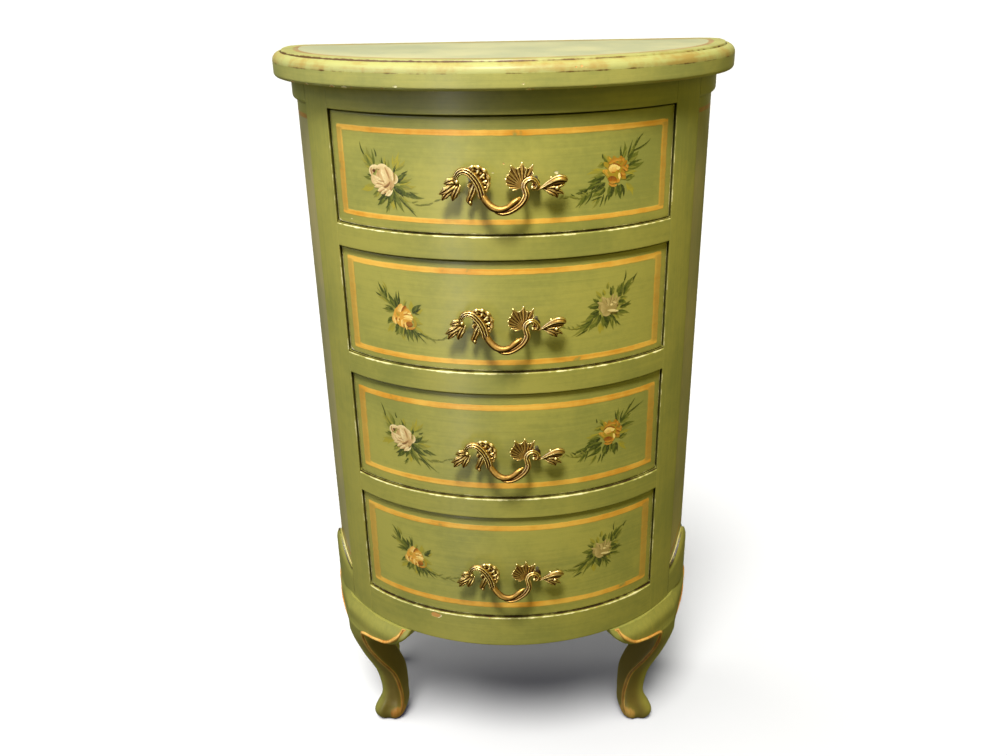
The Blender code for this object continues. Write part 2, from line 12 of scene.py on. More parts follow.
import bpy
import numpy as np
from mathutils import Matrix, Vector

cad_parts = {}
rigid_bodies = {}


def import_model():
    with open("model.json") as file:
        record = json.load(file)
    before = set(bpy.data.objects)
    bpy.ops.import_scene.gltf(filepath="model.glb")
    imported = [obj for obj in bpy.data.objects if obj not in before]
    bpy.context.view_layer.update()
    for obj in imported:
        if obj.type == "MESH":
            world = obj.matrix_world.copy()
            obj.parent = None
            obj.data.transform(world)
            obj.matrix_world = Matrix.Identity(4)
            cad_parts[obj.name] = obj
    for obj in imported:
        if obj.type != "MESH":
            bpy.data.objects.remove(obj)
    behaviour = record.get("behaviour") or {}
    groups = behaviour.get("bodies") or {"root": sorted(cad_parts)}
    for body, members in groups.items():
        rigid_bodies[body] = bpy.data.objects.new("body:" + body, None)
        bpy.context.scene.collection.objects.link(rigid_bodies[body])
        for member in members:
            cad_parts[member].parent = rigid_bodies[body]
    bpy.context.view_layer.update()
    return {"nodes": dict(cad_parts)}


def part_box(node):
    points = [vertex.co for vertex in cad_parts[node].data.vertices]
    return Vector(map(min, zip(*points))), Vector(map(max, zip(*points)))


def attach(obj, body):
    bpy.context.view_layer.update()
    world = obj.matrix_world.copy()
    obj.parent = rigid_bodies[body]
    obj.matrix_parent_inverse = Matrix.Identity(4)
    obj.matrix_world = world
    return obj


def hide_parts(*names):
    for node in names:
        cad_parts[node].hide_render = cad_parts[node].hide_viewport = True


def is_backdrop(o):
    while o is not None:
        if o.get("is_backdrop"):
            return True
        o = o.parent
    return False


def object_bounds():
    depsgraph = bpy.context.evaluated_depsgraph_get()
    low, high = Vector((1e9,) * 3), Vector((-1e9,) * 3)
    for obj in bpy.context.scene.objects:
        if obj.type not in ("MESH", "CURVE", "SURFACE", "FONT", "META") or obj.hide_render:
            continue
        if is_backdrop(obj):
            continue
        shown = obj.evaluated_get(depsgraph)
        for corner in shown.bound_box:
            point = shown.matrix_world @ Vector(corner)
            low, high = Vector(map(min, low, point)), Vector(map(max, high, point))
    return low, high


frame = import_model()

# %% [markdown]
# ## The plan of the carcass
# A maker would draw the plan once, as half an ellipse, and mark every rail and drawer front as
# the same curve moved in a little. Two functions hold that curve here: one goes by the angle
# from the middle of the front, the other by the distance from the middle. The heights are
# read from the CAD nodes, so they can't drift away from the drawers that really slide.

# %% Plan and heights
HALF_WIDTH = 0.240
BOW_DEPTH = 0.202
BACK_RUN = 0.028  # straight stretch behind the ellipse
SIDE_STRAIGHT = 0.006
SEAM = math.radians(60)  # joint of stile and side panel
FRAME_THICKNESS = 0.022
SEAT_GAP = 0.0003
FRONT_RECESS = 0.004
FRONT_THICKNESS = 0.019
PLAN_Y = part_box("back_panel")[1].y - BACK_RUN
OPENING_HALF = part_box("drawer_divider_1")[1].x + SEAT_GAP
SIDES = (("left", -1), ("right", 1))
DRAWERS = (1, 2, 3, 4)


def heights(node):
    """Lower and upper end of a CAD node."""
    low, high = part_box(node)
    return low.z, high.z


LEG_TOP, FIRST_OPENING = heights("bottom_rail")
FRIEZE_LOW, FRAME_TOP = heights("frieze_rail")


def bow(angle, inset):
    """Carcass curve by angle: x = (a - i) sin(angle), y = -(b - i) cos(angle)."""
    x = (HALF_WIDTH - inset) * np.sin(angle)
    return x, PLAN_Y - (BOW_DEPTH - inset) * np.cos(angle)


def bow_y(x, inset):
    """The same curve by x: y = -(b - i) sqrt(1 - (x / (a - i))^2)."""
    return PLAN_Y - (BOW_DEPTH - inset) * np.sqrt(1 - (x / (HALF_WIDTH - inset)) ** 2)


print("plan origin y", round(PLAN_Y, 4), "opening half width", round(OPENING_HALF, 5))

# %% [markdown]
# ## From grids of points to pieces
# Each piece below is one or more closed skins. A skin is a grid of points whose columns close
# into a ring and whose first and last rows are capped. The grid could be bent from a plain box
# with modifiers, but working out the points gives exact curves, and every point can also carry
# numbers for the paint: how far it lies from a worn edge, a painted line or a dirty corner.

# %% Skins
FAR = 60.0  # millimetres: farther than any mark reaches
# The third mark places dirt, and also painted shade on the legs and a painted shadow on the rail ledges
MARKS = ("edge_mm", "line_mm", "dirt_and_shade_mm", "chip_mm")


def ring_faces(grid):
    """Quads between neighbouring rows and columns, and the two caps, turned to face outwards."""
    rows, cols = grid.shape[:2]
    near = np.arange(cols)
    far = np.roll(near, -1)
    up = (np.arange(rows - 1) * cols)[:, None]
    quads = np.stack([up + near, up + far, up + far + cols, up + near + cols], -1).reshape(-1, 4)
    a, b, c, d = grid.reshape(-1, 3)[quads.T]
    out = ((a + b + c + d) / 4 - grid.mean((0, 1))) * np.cross(c - a, d - b)
    caps = [near[::-1], (rows - 1) * cols + near]
    turn = 1 if out.sum() > 0 else -1
    return quads[:, ::turn].tolist(), [cap[::turn].tolist() for cap in caps]


def make_mesh(name, skins):
    """One mesh from skins, each a grid of points and its marks by name."""
    points, faces, marks = [], [], {}
    count = 0
    for grid, values in skins:
        quads, caps = ring_faces(grid)
        faces += [[i + count for i in face] for face in quads + caps]
        points.append(grid.reshape(-1, 3))
        count += len(points[-1])
        for mark, value in values.items():
            marks.setdefault(mark, []).append(np.reshape(value, (len(points[-1]), -1)))
    mesh = bpy.data.meshes.new(name)
    mesh.from_pydata(np.vstack(points).tolist(), [], faces)
    for mark, values in marks.items():
        values = np.vstack(values).astype(np.float32)
        kind, field = ("FLOAT", "value") if values.shape[1] == 1 else ("FLOAT_COLOR", "color")
        mesh.attributes.new(mark, kind, "POINT").data.foreach_set(field, values.ravel())
    mesh.shade_smooth()
    mesh.set_sharp_from_angle(angle=math.radians(40))
    return mesh


def add_piece(name, mesh, finish, body, nodes=()):
    """Puts a mesh in the scene as a piece that rides on a body and stands for CAD nodes."""
    piece = bpy.data.objects.new(name, mesh)
    bpy.context.scene.collection.objects.link(piece)
    mesh.materials.append(finish)
    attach(piece, body)
    if nodes:
        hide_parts(*nodes)
    return piece


def add_painted(node, skins, finish, body="carcass"):
    """A painted piece that stands for one CAD node."""
    mesh = make_mesh(node, skins)
    add_piece(f"painted_{node}", mesh, finish, body, [node])
    return mesh


def grid_of(x, y, z):
    """Points from three coordinates, each spread over the same grid."""
    return np.stack(np.broadcast_arrays(x, y, z), -1)


def marked(grid, edge=FAR, line=FAR, dirt_and_shade=FAR, chip=FAR):
    """A skin with the paint marks, in millimetres, spread over its grid."""
    shape = grid.shape[:2]
    values = (edge, line, dirt_and_shade, chip)
    return grid, {m: np.broadcast_to(v, shape) for m, v in zip(MARKS, values)}


# %% Outlines with eased corners
ARC = np.linspace(0, 1, 5)[:, None]
ARRIS = 0.0003  # an eased corner is rubbed this far inside its sharp one
CHIP_FLAT = np.array([0.6, 0.0, 1.0])


def unit(vectors):
    """Vectors scaled to length 1."""
    return vectors / np.linalg.norm(vectors, axis=-1, keepdims=True)


def eased_outline(corners, spacing):
    """Closed outline through (u, v, ease) corners: each corner is the curve
    (1-t)^2 A + 2t(1-t) P + t^2 B between the points A and B at the ease before and after it,
    and the straight runs are cut into steps no longer than the spacing."""
    corners = np.array(corners, float)
    points, ease = corners[:, :2], corners[:, 2:]
    along = unit(np.roll(points, -1, 0) - points)
    start, end = points - np.roll(along, 1, 0) * ease, points + along * ease
    runs = []
    for i in range(len(points)):
        after = start[(i + 1) % len(points)]
        steps = max(2, math.ceil(np.linalg.norm(after - end[i]) / spacing))
        share = (np.arange(1, steps) / steps)[:, None]
        runs.append((1 - ARC) ** 2 * start[i] + 2 * ARC * (1 - ARC) * points[i] + ARC**2 * end[i])
        runs.append(end[i] + (after - end[i]) * share)
    return np.vstack(runs)


def board_outline(front, back, low, high, ease, back_ease, spacing):
    """Outline (depth, height) of a board, with one ease in front and another behind."""
    corners = [(front, low, ease), (front, high, ease), (back, high, back_ease), (back, low, back_ease)]
    return eased_outline(corners, spacing)


def inward(outline):
    """Unit normals of a closed outline, pointing to its inside."""
    step = np.roll(outline, -1, 0) - np.roll(outline, 1, 0)
    normal = unit(np.stack([-step[:, 1], step[:, 0]], 1))
    x, y = outline.T
    area = (x * np.roll(y, -1) - y * np.roll(x, -1)).sum()
    return normal * np.sign(area)


def gap_to(points, places):
    """Millimetres from each point to the nearest of some places."""
    places = np.atleast_2d(places)
    gap = np.full(points.shape[:-1], np.inf)
    for chunk in np.array_split(places, max(1, len(places) // 40)):
        away = np.linalg.norm(points[..., None, :] - chunk, axis=-1).min(-1)
        gap = np.minimum(gap, away)
    return gap * 1000


def chip_gap(grid, places, radius):
    """Millimetres to the edge of the nearest chip; chips are wider than high."""
    return gap_to(grid * CHIP_FLAT, np.array(places) * CHIP_FLAT) - radius


def smooth_rows(rows, steps):
    """Rows of numbers passed through smoothly (Catmull-Rom), with steps rows for each span."""
    rows = np.array(rows, float)
    padded = np.vstack([2 * rows[0] - rows[1], rows, 2 * rows[-1] - rows[-2]])
    before, start, end, after = (padded[i : i + len(rows) - 1, None] for i in range(4))
    t = (np.arange(steps) / steps)[None, :, None]
    bend = 2 * before - 5 * start + 4 * end - after + t * (3 * (start - end) + after - before)
    curve = start + t / 2 * (end - before + t * bend)
    return np.vstack([curve.reshape(-1, rows.shape[1]), rows[-1:]])


# %% [markdown]
# ## Finishes as sums
# A finish is a small tree of shader nodes. Wiring such trees by hand hides what they say, so
# one class wraps a node's output and lets Python's own operators add the Math nodes. A mask
# then reads as the sum it is, and every other node comes from a single method.

# %% Shader sums


class Tap:
    """The output of a node, which takes part in sums: each operator adds a Math node."""

    def __init__(self, finish, socket):
        self.finish, self.socket = finish, socket

    def sum(self, operation, first, second=0.0):
        """A Math node with two inputs, each a number or a tap."""
        return self.finish.node("Math", {"operation": operation}, {0: first, 1: second})

    def __add__(self, other):
        return self.sum("ADD", self, other)

    def __sub__(self, other):
        return self.sum("SUBTRACT", self, other)

    def __rsub__(self, other):
        return self.sum("SUBTRACT", other, self)

    def __mul__(self, other):
        return self.sum("MULTIPLY", self, other)

    def __abs__(self):
        return self.sum("ABSOLUTE", self)

    __radd__, __rmul__ = __add__, __mul__

    def ramp(self, low, high):
        """0 at low and 1 at high, with a smooth run between; low may lie above high."""
        names = {"From Min": low, "From Max": high}
        settings = {"interpolation_type": "SMOOTHSTEP"}
        return self.finish.node("MapRange", settings, {"Value": self, **names})


class Finish:
    """One material and the nodes behind it."""

    def __init__(self, name, **fixed):
        self.material = bpy.data.materials.new(name)
        self.material.use_nodes = True
        self.tree = self.material.node_tree
        self.shader = self.tree.nodes["Principled BSDF"]
        for key, value in fixed.items():
            self.shader.inputs[key.replace("_", " ")].default_value = value

    def feed(self, socket, value):
        """Links a tap to a socket, or sets the socket to a number or a colour."""
        if isinstance(value, Tap):
            self.tree.links.new(value.socket, socket)
        elif isinstance(value, tuple) and len(value) == 3 and socket.type == "RGBA":
            socket.default_value = (*value, 1)
        else:
            socket.default_value = value

    def node(self, kind, settings=None, sockets=None, output=0):
        """Adds a node with its settings and inputs, and gives back one of its outputs."""
        made = self.tree.nodes.new("ShaderNode" + kind)
        for key, value in (settings or {}).items():
            setattr(made, key, value)
        for key, value in (sockets or {}).items():
            self.feed(made.inputs[key], value)
        return Tap(self, made.outputs[output])

    def noise(self, stretch, detail=3.0, rough=0.55, shift=0.0):
        """Cloudy noise on Object coordinates; stretch is the number of clouds a metre, by axis."""
        stretch = stretch if isinstance(stretch, tuple) else (stretch,) * 3
        place = self.node("TexCoord", output=3)
        settings = {"Scale": stretch, "Location": (shift, shift, shift)}
        place = self.node("Mapping", sockets={"Vector": place, **settings})
        values = {"Vector": place, "Scale": 1.0, "Detail": detail, "Roughness": rough}
        return self.node("TexNoise", sockets=values)

    def mark(self, name):
        """A number that the points of the mesh carry."""
        return self.node("Attribute", {"attribute_name": name}, output=2)

    def mix(self, share, first, second):
        """A colour between two, by a share."""
        return self.node("Mix", {"data_type": "RGBA"}, {0: share, 6: first, 7: second}, 2)

    def paint(self, colour, roughness, height=None, depth=0.0003):
        """Feeds the shader a colour, a roughness and, if there is a height, relief of that depth."""
        self.feed(self.shader.inputs["Base Color"], colour)
        self.feed(self.shader.inputs["Roughness"], roughness)
        if height is not None:
            values = {"Height": height, "Distance": depth, "Strength": 1.0}
            self.feed(self.shader.inputs["Normal"], self.node("Bump", sockets=values))
        return self.material


def colour(red, green, blue):
    """Screen colour (0 to 255) as the linear numbers that a shader takes."""
    value = np.array([red, green, blue]) / 255
    linear = np.where(value <= 0.04045, value / 12.92, ((value + 0.055) / 1.055) ** 2.4)
    return tuple(linear.tolist())


# %% [markdown]
# ## The old paint
# The real paint was brushed on in thin coats and has yellowed, so its colour drifts in soft
# clouds and fine streaks that follow the brush. At the arrises it has rubbed through to a
# cream undercoat and, in spots, to the wood. One recipe makes all of it; the marks on the mesh
# say where edges, painted lines and dirty corners are, so the wear sits where hands put it.

# %% Paint recipe
CREAMS = (206, 196, 120), (240, 232, 172)
BARE_WOOD = colour(206, 152, 80)
# The dark clouds lean to green, the light ones to yellow
TINTS = (0.78, 0.83, 0.82), (1.14, 1.11, 1.02)
# Clouds a metre by axis, for brush marks along the board and up it
LEVEL, UPRIGHT = (9.0, 9.0, 330.0), (330.0, 330.0, 9.0)


def aged_paint(
    name, ground, field, line, streak, line_half=2.2, wear=1.0, worn=CREAMS, stain=None, shadow_and_dirt=(58, 42, 18)
):
    """Brushed paint: ground outside the painted line and field inside it, with worn edges. Where the
    third mark falls from 8 to 2 a stain comes up slowly: tarnish on the drawers' frames, painted shade
    on the legs' shaded sides. Where it falls from 1.4 to 0.5 the darkest colour comes in: dirt, and
    painted shadow in the corners of the rail ledges."""
    f = Finish(name, Coat_Weight=0.12, Coat_Roughness=0.25, Specular_IOR_Level=0.4)
    edge, gap, dirt_and_shade, chip = (f.mark(m) for m in MARKS)
    cloud, fleck, patch = f.noise(9.0), f.noise(150.0, 4.0), f.noise(38.0, 3.0, 0.6, 3.1)
    brush = f.noise(streak, 4.0, 0.6)
    tone = (cloud * 1.15 + brush * 0.4 + fleck * 0.3).ramp(0.68, 1.17)
    shades = []
    for shade in (ground, field):
        dark, light = (np.array(colour(*shade)) * tint for tint in TINTS)
        shades.append(f.mix(tone, tuple(dark.tolist()), tuple(light.tolist())))
    base = f.mix(gap.ramp(0.5, -0.5), *shades)
    ragged = abs(gap) + (brush - 0.5) * 1.6 + (fleck - 0.5) * 1.1
    drawn = ragged.ramp(line_half + 0.5, line_half - 0.5)
    kept = patch.ramp(0.24, 0.36)
    gilt = f.mix((brush * 0.4 + patch * 0.5 + cloud * 0.5).ramp(0.5, 0.88), *(colour(*c) for c in line))
    base = f.mix(drawn * kept, base, gilt)
    rubbed = (edge - (patch - 0.5) * 4.0 * wear - (fleck - 0.5) * 2.4).ramp(1.1, 0.3)
    undercoat = f.mix((patch * 0.7 + tone * 0.5).ramp(0.35, 0.75), *(colour(*c) for c in worn))
    base = f.mix(rubbed * 0.85, base, undercoat)
    chipped = (abs(edge) - (f.noise(110.0, 3.0, 0.6, 7.7) - 0.7) * 12.0 * wear).ramp(0.8, 0.3)
    base = f.mix(chipped, base, BARE_WOOD)
    flaked = (chip + (fleck - 0.5) * 5.0).ramp(0.4, -0.4)
    bared = f.mix((chip + (patch - 0.5) * 5.0).ramp(0.2, -0.9), colour(*CREAMS[1]), BARE_WOOD)
    base = f.mix(flaked, base, bared)
    # Tarnish on the drawers' frames; on the legs this mix is a painted shade on the shaded sides
    if stain:
        base = f.mix(dirt_and_shade.ramp(8.0, 2.0) * 0.72, base, colour(*stain))
    # Dirt, and on the rail ledges a painted shadow in the corner under each drawer front
    darkened_by_dirt_and_shadow = (dirt_and_shade + (patch - 0.5) * 3.0 + (fleck - 0.5) * 1.6).ramp(1.4, 0.5)
    base = f.mix(darkened_by_dirt_and_shadow, base, colour(*shadow_and_dirt))
    rough = 0.34 + 0.16 * fleck + 0.2 * rubbed
    relief = brush * 0.5 + fleck * 0.35 + drawn * 0.5 - chipped * 1.4 - rubbed * 0.4 - flaked
    return f.paint(base, rough, relief, 0.00025)


# The second green, inside the drawers' gilt frames, is the first made a little lighter: painted light on
# the middles of the drawers
GREEN, FRONT_GREEN_PAINTED_LIGHT, TOP_GREEN = (156, 152, 72), (162, 158, 76), (164, 161, 86)
TAUPE, PALE = (166, 156, 106), (178, 177, 134)
# LEG_SHADE is painted shade for the shaded sides of the leg shafts
TARNISH, LEG_SHADE, TOP_DIRT = (164, 140, 62), (94, 64, 12), (92, 64, 24)
# Darkest and lightest tone of each painted line, and of the mould where it is worn
GOLD, RUST = ((220, 150, 40), (246, 194, 80)), ((150, 104, 44), (196, 140, 66))
LIP_GOLD, LEG_GOLD = ((214, 180, 96), (242, 226, 150)), ((196, 122, 38), (242, 196, 104))
STRIPE, MOULD = ((142, 106, 52), (176, 142, 84)), ((162, 134, 62), (170, 170, 98))
rail_paint = aged_paint("rail_paint", GREEN, GREEN, GOLD, LEVEL, wear=1.25)
stile_paint = aged_paint("stile_paint", GREEN, GREEN, GOLD, UPRIGHT)
drawer_paint = aged_paint(
    "drawer_paint", GREEN, FRONT_GREEN_PAINTED_LIGHT, GOLD, LEVEL, line_half=2.5, wear=0.7, stain=TARNISH
)
panel_paint = aged_paint("panel_paint", GREEN, TAUPE, RUST, UPRIGHT, line_half=2.4)
apron_paint = aged_paint("apron_paint", GREEN, GREEN, LIP_GOLD, LEVEL, line_half=0.6)
leg_paint = aged_paint("leg_paint", GREEN, GREEN, LEG_GOLD, UPRIGHT, line_half=3.1, stain=LEG_SHADE)
top_paint = aged_paint(
    "top_paint", TOP_GREEN, PALE, STRIPE, LEVEL, line_half=2.8, wear=1.3, worn=MOULD, shadow_and_dirt=TOP_DIRT
)
print("paint finishes", len(bpy.data.materials))

# %% [markdown]
# ## Rails
# Each rail is a board whose front edge follows the bow and whose back edge is straight. Only
# a few millimetres show, but its upper front arris catches the light under every drawer, so the
# outline gets eased corners there and carries the distance to them for the wear. In the corner
# of the ledge under each drawer front a dark line is a painted shadow.

# %% Rails between the drawers
RAIL_HALF = OPENING_HALF - 0.00005
RAIL_X = np.linspace(-RAIL_HALF, RAIL_HALF, 121)[:, None]
RAIL_EASE, RAIL_STEP = 0.0012, 0.001
RAIL_LEDGE = 0.012  # depth of the shaped front; behind it the board runs on to its straight back
RAIL_CHIPS = [(-0.0905, 0.0, 0.2455)]
LEDGE_SHADOW_SPREAD = 0.7  # below 1, the painted shadow in the corner of a ledge spreads farther than the dirt elsewhere


def rail_wear(outline, low, high):
    """Distance to the upper front arris, or to the lower one, which is rubbed less."""
    upper = gap_to(outline, (ARRIS, high - ARRIS)) + 0.3
    lower = gap_to(outline, (ARRIS, low + ARRIS)) + (1.4 if low < FRIEZE_LOW else FAR)
    return np.minimum(upper, lower)


def ledge_shadow(outline, high):
    """Painted shadow on the ledge, in the corner under the drawer front."""
    return gap_to(outline, (FRONT_RECESS - ARRIS, high)) * LEDGE_SHADOW_SPREAD


def rail_skin(low, high, back):
    """Outline (depth, height) carried across x; the deepest points go to the straight back."""
    outline = board_outline(0, RAIL_LEDGE, low, high, RAIL_EASE, 0.002, RAIL_STEP)
    depth, z = outline.T
    y = np.where(depth > 0.8 * RAIL_LEDGE, back, bow_y(RAIL_X, 0) + depth)
    grid = grid_of(RAIL_X, y, z)
    # The third mark is a painted shadow in the ledge's corner, under the drawer front
    return marked(grid, rail_wear(outline, low, high), dirt_and_shade=ledge_shadow(outline, high))


def bottom_rail_skin(low, high):
    """The same outline on a board that is bowed in front and behind."""
    outline = board_outline(0, FRAME_THICKNESS, low, high, RAIL_EASE, 0.001, RAIL_STEP)
    depth, z = outline.T
    grid = grid_of(RAIL_X, bow_y(RAIL_X, depth), z)
    # The third mark is a painted shadow in the ledge's corner, under the drawer front
    wear, shadow_and_dirt = rail_wear(outline, low, high), ledge_shadow(outline, high)
    return marked(grid, wear, dirt_and_shade=shadow_and_dirt, chip=chip_gap(grid, RAIL_CHIPS, 4.0))


def add_rails():
    """The frieze rail and three dividers with straight backs, and the bottom rail, bowed behind too."""
    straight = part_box("drawer_divider_1")[1].y
    names = ["frieze_rail", *(f"drawer_divider_{n}" for n in (1, 2, 3))]
    for node in names:
        add_painted(node, [rail_skin(*heights(node), straight)], rail_paint)
    add_painted("bottom_rail", [bottom_rail_skin(LEG_TOP, FIRST_OPENING)], rail_paint)
    print("rails", len(names) + 1)


add_rails()

# %% [markdown]
# ## Stiles and back posts
# The two front stiles run the full height and are bowed like the rest, so they are a plan
# outline carried straight up. The side towards the drawers is a flat plane, and the other
# end is cut square to the bow, so x is blended between the two before the bow gives y.

# %% Stiles and posts


def upright_skin(plan, marks, low, high):
    """Plan points carried from low to high, drawn in a little at both ends."""
    drawn = 0.0006
    z = np.concatenate([[low], np.linspace(low + drawn, high - drawn, 60), [high]])
    pull = np.zeros(len(z))
    pull[[0, -1]] = drawn
    flat = plan[None] + inward(plan)[None] * pull[:, None, None]
    grid = np.concatenate([flat, np.broadcast_to(z[:, None, None], (*flat.shape[:2], 1))], -1)
    beside = np.zeros(len(z), bool)
    for number in DRAWERS:
        sill, head = heights(f"drawer_{number}_front")
        beside |= (z > sill) & (z < head)
    return marked(grid, np.where(beside[:, None], marks, FAR))


def add_uprights():
    """Stile: with s from 0 to 1 along its face, x = (1 - s) opening half width + s (a - inset) sin(seam),
    and the bow gives y. Post: the outline of its CAD box with eased corners."""
    seam_run, thick, ease, back_ease, step = 0.0356, FRAME_THICKNESS, 0.0007, 0.001, 0.002
    outline = eased_outline(
        [(0, 0, ease), (seam_run, 0, ease), (seam_run, thick, back_ease), (0, thick, back_ease)], step
    )
    share, inset = outline[:, 0] / seam_run, outline[:, 1]
    x = (1 - share) * OPENING_HALF + share * (HALF_WIDTH - inset) * math.sin(SEAM)
    stile = np.stack([x, bow_y(x, inset)], 1)
    stile_edge = gap_to(outline, (ARRIS, ARRIS)) + 0.5
    low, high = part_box("back_post_right")
    post = eased_outline(
        [(low.x, low.y, ease), (high.x, low.y, ease), (high.x, high.y, ease), (low.x, high.y, ease)], step
    )
    post_edge = gap_to(post, [(high.x, high.y), (high.x, low.y)])
    for side, hand in SIDES:
        turn = np.array([hand, 1])
        for name, plan, marks in (
            (f"front_stile_{side}", stile, stile_edge),
            (f"back_post_{side}", post, post_edge),
        ):
            add_painted(name, [upright_skin(plan * turn, marks, *heights(name))], stile_paint)
    print("uprights", 2 * len(SIDES))


add_uprights()

# %% [markdown]
# ## Sides: frieze, panel and apron
# Between stile and post each side has a frieze with a small cove, a recessed panel in a greyer
# paint inside a brown line, and an apron that stands proud with a lip rising in a low arch.
# All three are sections carried along the same side path: the end of the ellipse, and then a
# few straight millimetres.

# %% Side pieces
PANEL_RECESS, PANEL_THICKNESS = 0.0045, 0.010
APRON_PROUD, LIP_BASE, LIP_RISE = 0.0028, 0.0006, 0.0285
PANEL_EASE = 0.0002
# The painted line of a panel: its height, and its distance from the stile, the post and the lip
PANEL_LINE_TOP, PANEL_LINE_FRONT, PANEL_LINE_BACK, PANEL_LINE_FOOT = 0.830, 0.004, 0.010, 0.012
SIDE_ANGLES = np.linspace(SEAM + 0.0002, math.pi / 2, 61)
SIDE_SHARE = np.append((SIDE_ANGLES - SIDE_ANGLES[0]) / (math.pi / 2 - SIDE_ANGLES[0]), 1.0)


def side_grid(hand, inset, z):
    """Section points (inset, height), given for each station, carried along the side path."""
    shape = np.broadcast_shapes(inset.shape, z.shape, (len(SIDE_SHARE), 1))
    inset, z = np.broadcast_to(inset, shape), np.broadcast_to(z, shape)
    x, y = bow(SIDE_ANGLES[:, None], inset[:-1])
    x = np.vstack([x, HALF_WIDTH - inset[-1:]])
    y = np.vstack([y, np.full((1, shape[1]), PLAN_Y + SIDE_STRAIGHT - SEAT_GAP)])
    return np.stack([hand * x, y, z], -1)


def lip_height(share):
    """Apron lip: base + rise sin^2(pi share), from the stile to the post."""
    return FIRST_OPENING + LIP_BASE + LIP_RISE * np.sin(math.pi * share) ** 2


def frieze_skin(hand):
    """Section: a plain face, and a quarter circle, inset r (1 - cos) and height r (1 - sin), hollowed
    out at its foot."""
    low, high, cove = FRIEZE_LOW, FRAME_TOP, 0.0045
    turn = np.linspace(0, math.pi / 2, 7)
    hollow = np.stack([cove * (1 - np.cos(turn)), low + cove * (1 - np.sin(turn))], 1)
    upper = np.linspace(high, low + cove, 6)[:-1]
    face = np.stack([np.zeros(5), upper], 1)
    back = np.array([[FRAME_THICKNESS, low], [FRAME_THICKNESS, high]])
    outline = np.vstack([face, hollow, back])
    grid = side_grid(hand, outline[None, :, 0], outline[None, :, 1])
    return marked(grid, gap_to(outline, (0, low + cove)) + 1.0)


def panel_skin(hand):
    """Board carried along the side path. Its painted line is the gap to a frame of straight sides
    whose foot follows the lip: the smallest of the four distances to them."""
    low, high = heights("side_panel_right")
    inner = PANEL_RECESS + PANEL_THICKNESS
    outline = board_outline(PANEL_RECESS, inner, low, high, PANEL_EASE, PANEL_EASE, 0.003)
    grid = side_grid(hand, outline[None, :, 0], outline[None, :, 1])
    steps = np.linalg.norm(np.diff(grid[:, 0, :2], axis=0), axis=1)
    run = np.concatenate([[0], np.cumsum(steps)])[:, None]
    z = outline[None, :, 1]
    foot = lip_height(SIDE_SHARE)[:, None] + PANEL_LINE_FOOT
    beside = np.minimum(run - PANEL_LINE_FRONT, run[-1] - PANEL_LINE_BACK - run)
    inside = np.minimum(beside, np.minimum(PANEL_LINE_TOP - z, z - foot))
    line = np.where(outline[None, :, 0] < PANEL_RECESS + 0.001, -inside * 1000, FAR)
    return marked(grid, line=line, dirt_and_shade=np.where(run < 0.0005, 0.8, 4.0))


def apron_skin(hand):
    """Board with a lip in front of the panel. At each station the lip is squeezed to its arch, the
    proud face comes out by 3s^2 - 2s^3 over the first third of the way, and its top leans back."""
    top = FIRST_OPENING + LIP_BASE + LIP_RISE
    behind, proud = PANEL_RECESS - SEAT_GAP, APRON_PROUD
    outline = eased_outline(
        [
            (-proud, LEG_TOP, 8e-4),
            (-proud, top, 1.6e-3),
            (behind, top, 1.2e-3),
            (behind, FIRST_OPENING, 2e-4),
            (FRAME_THICKNESS, FIRST_OPENING, 2e-4),
            (FRAME_THICKNESS, LEG_TOP, 2e-4),
        ],
        0.002,
    )
    inset, z = outline.T
    squeeze = (lip_height(SIDE_SHARE) - FIRST_OPENING) / (top - FIRST_OPENING)
    lifted = FIRST_OPENING + (z - FIRST_OPENING) * squeeze[:, None]
    z = np.where(z > FIRST_OPENING + 1e-6, lifted, z)
    start = np.clip(SIDE_SHARE / 0.35, 0, 1)[:, None]
    lean = np.clip((z - lip_height(SIDE_SHARE)[:, None]) / 0.014 + 1, 0, 1)
    inset = np.where(inset < 0, inset * start * start * (3 - 2 * start) + 0.0034 * lean**2, inset)
    grid = side_grid(hand, inset, z)
    lip = [(-proud + 4e-4, top - 4e-4), (behind - ARRIS, top - ARRIS)]
    ledge = (outline[:, 1] > top - 2e-4) & (np.abs(outline[:, 0]) < 0.0025)
    return marked(grid, line=gap_to(outline, lip), dirt_and_shade=np.where(ledge, 0.7, FAR))


def add_sides():
    """The frieze, panel and apron of each side."""
    for side, hand in SIDES:
        for name, skin, finish in (
            (f"side_frieze_{side}", frieze_skin, stile_paint),
            (f"side_panel_{side}", panel_skin, panel_paint),
            (f"side_apron_{side}", apron_skin, apron_paint),
        ):
            add_painted(name, [skin(hand)], finish)
    print("side pieces", 3 * len(SIDES))


add_sides()

# %% [markdown]
# ## The top board
# The top overhangs the carcass and has a plain band, a quarter-round mould and a fine groove
# before the flat. It is one profile carried round the plan, ring by ring. The rings go on over
# the flat as far as the painted stripe, which runs parallel to the edge on all sides.

# %% Top board
TOP_OVERHANG = 0.018
TOP_CORNER = 0.022
STRIPE_INSET = 0.026
FLAT_START = 0.0108
MOULD_RADIUS, EDGE_EASE = 0.009, 0.004
GROOVE_INSET, GROOVE_DROP = 0.0098, 0.0016
FLAT_INSETS = [0.0125, 0.015, 0.018, 0.021, 0.0235, 0.026, 0.0285, 0.031, 0.035, 0.045, 0.06]
BACK_STRIPE = 0.022  # how far the rings on the flat leave the back edge
# Chips of the front edge: x and height above the lower edge
TOP_CHIPS = [
    (-0.098, 0.0045), (0.0225, 0.0073), (0.0271, 0.0012), (-0.112, 0.002), (-0.214, 0.0012),
    (-0.196, 0.0006), (-0.165, 0.001), (-0.152, 0.0008), (-0.06, 0.0006), (0.09, 0.0008),
]


